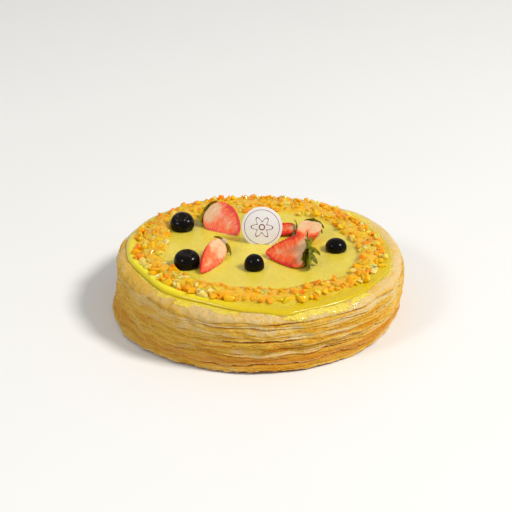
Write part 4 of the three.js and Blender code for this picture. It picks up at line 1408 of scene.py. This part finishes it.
def above_glaze(bm):
    """Cuts off what would reach into the glaze."""
    bmesh.ops.bisect_plane(bm, geom=bm.verts[:] + bm.edges[:] + bm.faces[:],
                           plane_co=(0, 0, GLAZE_TOP - 0.2), plane_no=(0, 0, -1), clear_outer=True)
    bmesh.ops.holes_fill(bm, edges=[edge for edge in bm.edges if edge.is_boundary])
    return bm


def seeds_mesh(bm, piece):
    """The seeds of one berry, each lying in its dimple."""
    length, depth = fruit_length(piece), piece["depth"] / (0.5 * piece["width"])
    place = fruit_matrix(piece)
    for along, around in seed_rows(piece):
        half = fruit_half_width(piece, along)
        outward = Vector((0.15, math.cos(around), -math.sin(around) / depth)).normalized()
        point = Vector((length * along, half * math.cos(around), -half * depth * math.sin(around)))
        point -= SEED_DEPTH * outward
        if (place @ point).z < GLAZE_TOP + 0.5:
            continue
        seed = bmesh.new()
        bmesh.ops.create_icosphere(seed, subdivisions=1, radius=1)
        bmesh.ops.scale(seed, vec=SEED_SIZE, verts=seed.verts)
        turn = outward.to_track_quat("Z", "X").to_matrix().to_4x4()
        bmesh.ops.transform(seed, matrix=place @ Matrix.Translation(point) @ turn, verts=seed.verts)
        join(bm, seed)


def leaf_mesh(leaf, seed, piece, hug):
    """A thin wavy blade in the berry's own axes; its tip bends over the berry's shoulder and hangs down."""
    down = fruit_matrix(piece).to_3x3().inverted() @ Vector((0, 0, -1))
    turn_degrees, reach, width, lean_degrees, curl = leaf
    turn, lean = math.radians(turn_degrees), math.radians(lean_degrees)
    outward = Vector((0, math.cos(turn), math.sin(turn)))
    sideways = Vector((0, -math.sin(turn), math.cos(turn)))
    bm = bmesh.new()
    bmesh.ops.create_grid(bm, x_segments=20, y_segments=8, size=1)
    vein = bm.verts.layers.float.new("vein")
    ageing = bm.verts.layers.float.new("age")
    for vert in bm.verts:
        share, side = (vert.co.x + 1) / 2, vert.co.y
        half = width * (0.16 + 0.84 * math.sin(math.pi * (0.12 + 0.86 * share)) ** 0.8) / 2
        run = LEAF_START + reach * share
        back = run * math.tan(lean) * (1 - curl * share) + 0.35 * math.sin(9 * share) ** 2
        ripple = 0.3 * noise.noise(Vector((share * 4, side * 1.5, seed)))
        cup = 0.35 * side * side + ripple
        vert[vein] = 1 - blend(0.0, 0.2, abs(side))
        vert[ageing] = piece["age"]
        vert.co = (outward * (run - 0.12 * hug * share * share) + sideways * (side * half)
                   + Vector((hug * share * share - LEAF_CLEARANCE - LEAF_SETBACK - back - cup, 0, 0))
                   + down * (reach * (2 * curl - 0.05) * share * share))
    bmesh.ops.solidify(bm, geom=bm.faces[:], thickness=LEAF_THICKNESS)
    bmesh.ops.recalc_face_normals(bm, faces=bm.faces)
    return bm


def stub_mesh(piece):
    """The cut stalk in the berry's own axes."""
    bm = bmesh.new()
    bmesh.ops.create_cone(bm, cap_ends=True, segments=24, radius1=STUB_RADII[0], radius2=STUB_RADII[1],
                          depth=STUB_LENGTH)
    stalk, age = bm.verts.layers.float.new("stalk"), bm.verts.layers.float.new("age")
    for vert in bm.verts:
        vert[stalk], vert[age] = piece["pale_stalk"], 1.0
    bmesh.ops.rotate(bm, cent=(0, 0, 0), matrix=Matrix.Rotation(-math.pi / 2, 3, "Y"), verts=bm.verts)
    start = -LEAF_CLEARANCE - LEAF_SETBACK - 0.5 * STUB_LENGTH
    bmesh.ops.translate(bm, vec=(start, 0, 0), verts=bm.verts)
    return bm


def calyx_mesh(piece, index):
    """The leaves and the stub of one berry, in place."""
    bm = bmesh.new()
    for number, leaf in enumerate(LEAVES[index] + MORE_LEAVES.get(index, ())):
        hug = piece["hug"] + (MORE_HUG if number >= len(LEAVES[index]) else 0)
        join(bm, leaf_mesh(leaf, 10 * index + number, piece, hug))
    join(bm, stub_mesh(piece))
    bmesh.ops.transform(bm, matrix=fruit_matrix(piece), verts=bm.verts)
    return bm


class CREPECAKE_OT_strawberries(bpy.types.Operator):
    """Make the cut strawberries, their seeds and their leaves"""
    bl_idname = "crepecake.strawberries"
    bl_label = "Strawberries"

    def execute(self, context):
        settings = context.scene.fruit_settings
        flesh, leaf_look = strawberry_material(settings), leaf_material(settings)
        seeds = bmesh.new()
        for index, piece in enumerate(STRAWBERRIES):
            name = f"strawberry_{index + 1}"
            half = above_glaze(fruit_mesh(piece, index))
            add_piece(f"{name}_half", half, flesh, [name], sharp=50)
            seeds_mesh(seeds, piece)
            calyx = above_glaze(calyx_mesh(piece, index))
            add_piece(f"strawberry_calyx_{index + 1}", calyx, leaf_look,
                      [f"strawberry_leaves_{index + 1}"], sharp=60)
        add_piece("strawberry_seeds", seeds, seed_material())
        return {"FINISHED"}


# ================================================================ badge
class CREPECAKE_OT_badge(bpy.types.Operator):
    """Make the round card badge"""
    bl_idname = "crepecake.badge"
    bl_label = "Badge"

    def execute(self, context):
        bm = bmesh.new()
        bmesh.ops.create_cone(bm, cap_ends=True, segments=128, radius1=BADGE_RADIUS, radius2=BADGE_RADIUS,
                              depth=BADGE_THICKNESS)
        rims = [edge for edge in bm.edges if abs(edge.verts[0].co.z - edge.verts[1].co.z) < 1e-6]
        bmesh.ops.bevel(bm, geom=rims, offset=BADGE_BEVEL, affect="EDGES", segments=3, profile=0.5,
                        material=-1)
        face = bm.loops.layers.uv.new("face")
        for polygon in bm.faces:
            front = polygon.normal.z > 0.9
            for loop in polygon.loops:
                spot = loop.vert.co / BADGE_RADIUS
                loop[face].uv = (spot.x, spot.y) if front else (2 + spot.x, 2 + spot.y)
        upright = Matrix.Rotation(math.radians(90), 4, "X")
        lean = Matrix.Rotation(-math.radians(BADGE_LEAN), 4, "X")
        turn = Matrix.Rotation(math.radians(BADGE_TURN), 4, "Z")
        place = Matrix.Translation(BADGE_CENTRE) @ turn @ lean @ upright
        bmesh.ops.transform(bm, matrix=place, verts=bm.verts)
        material = badge_material(context.scene.badge_settings)
        add_piece("badge_card", bm, material, ["badge"], sharp=40)
        return {"FINISHED"}


# ================================================================ stage
def area_light(name, lamp, power):
    """A soft lamp of a place, a width and a colour, aimed at the cake."""
    place, width, colour = lamp
    light = bpy.data.lights.new(name, "AREA")
    light.shape, light.size, light.energy, light.color = "DISK", width * MM, power, colour
    made = bpy.data.objects.new(name, light)
    bpy.context.scene.collection.objects.link(made)
    start, end = PLACE @ Vector(place), PLACE @ Vector(LIT_POINT)
    turn = (end - start).to_track_quat("-Z", "Y").to_matrix().to_4x4()
    made.matrix_world = Matrix.Translation(start) @ turn


class CREPECAKE_OT_stage(bpy.types.Operator):
    """Make the floor, the lights and the camera"""
    bl_idname = "crepecake.stage"
    bl_label = "Stage"

    def execute(self, context):
        settings = context.scene.stage_settings
        scene = context.scene
        floor = bmesh.new()
        bmesh.ops.create_grid(floor, x_segments=2, y_segments=2, size=FLOOR_SIZE * MM)
        mesh = bpy.data.meshes.new("floor")
        floor.to_mesh(mesh)
        floor.free()
        mesh.materials.append(floor_material(settings))
        ground = bpy.data.objects.new("floor", mesh)
        scene.collection.objects.link(ground)
        world = bpy.data.worlds.new("Studio")
        world.use_nodes = True
        background = world.node_tree.nodes["Background"]
        background.inputs["Color"].default_value = SKY
        background.inputs["Strength"].default_value = settings.sky_strength
        scene.world = world
        area_light("Key", KEY_LAMP, settings.key_power)
        area_light("Fill", FILL_LAMP, settings.fill_power)
        self.add_camera(scene)
        scene.view_settings.view_transform = "Standard"
        return {"FINISHED"}

    def add_camera(self, scene):
        pitch, yaw, roll = (math.radians(value) for value in (CAMERA_PITCH, CAMERA_YAW, CAMERA_ROLL))
        forward = Vector((math.sin(yaw) * math.cos(pitch), math.cos(yaw) * math.cos(pitch),
                          -math.sin(pitch)))
        level = forward.cross(Vector((0, 0, 1))).normalized()
        upright = level.cross(forward)
        right = level * math.cos(roll) + upright * math.sin(roll)
        up = upright * math.cos(roll) - level * math.sin(roll)
        data = bpy.data.cameras.new("Camera")
        data.sensor_width, data.lens = CAMERA_SENSOR, CAMERA_LENS
        data.clip_start, data.clip_end = 0.01, 20.0
        camera = bpy.data.objects.new("Camera", data)
        scene.collection.objects.link(camera)
        turn = Matrix((right, up, -forward)).transposed().to_4x4()
        camera.matrix_world = Matrix.Translation(PLACE @ CAMERA_PLACE) @ turn
        scene.camera = camera


# ================================================================ panel and registration
OPERATORS = (CREPECAKE_OT_crepes, CREPECAKE_OT_glaze, CREPECAKE_OT_blueberries, CREPECAKE_OT_strawberries,
             CREPECAKE_OT_badge, CREPECAKE_OT_stage)
SETTINGS = {
    "crepe_settings": CrepeSettings,
    "glaze_settings": GlazeSettings,
    "fruit_settings": FruitSettings,
    "badge_settings": BadgeSettings,
    "stage_settings": StageSettings,
}


class CREPECAKE_PT_panel(bpy.types.Panel):
    """Lists the settings and the pieces of the cake"""
    bl_label = "Crepe cake"
    bl_idname = "CREPECAKE_PT_panel"
    bl_space_type = "VIEW_3D"
    bl_region_type = "UI"
    bl_category = "Crepe cake"

    def draw(self, context):
        for name, group in SETTINGS.items():
            box = self.layout.box()
            box.label(text=group.__doc__)
            for field in group.__annotations__:
                box.prop(getattr(context.scene, name), field)
        for operator in OPERATORS:
            self.layout.operator(operator.bl_idname)


CLASSES = (*SETTINGS.values(), *OPERATORS, CREPECAKE_PT_panel)


def register():
    for cls in CLASSES:
        bpy.utils.register_class(cls)
    for name, group in SETTINGS.items():
        setattr(bpy.types.Scene, name, bpy.props.PointerProperty(type=group))


def unregister():
    for name in SETTINGS:
        delattr(bpy.types.Scene, name)
    for cls in reversed(CLASSES):
        bpy.utils.unregister_class(cls)


def main():
    """Makes every piece."""
    register()
    for name in ("crepes", "glaze", "blueberries", "strawberries", "badge", "stage"):
        getattr(bpy.ops.crepecake, name)()


if __name__ == "__main__":
    main()
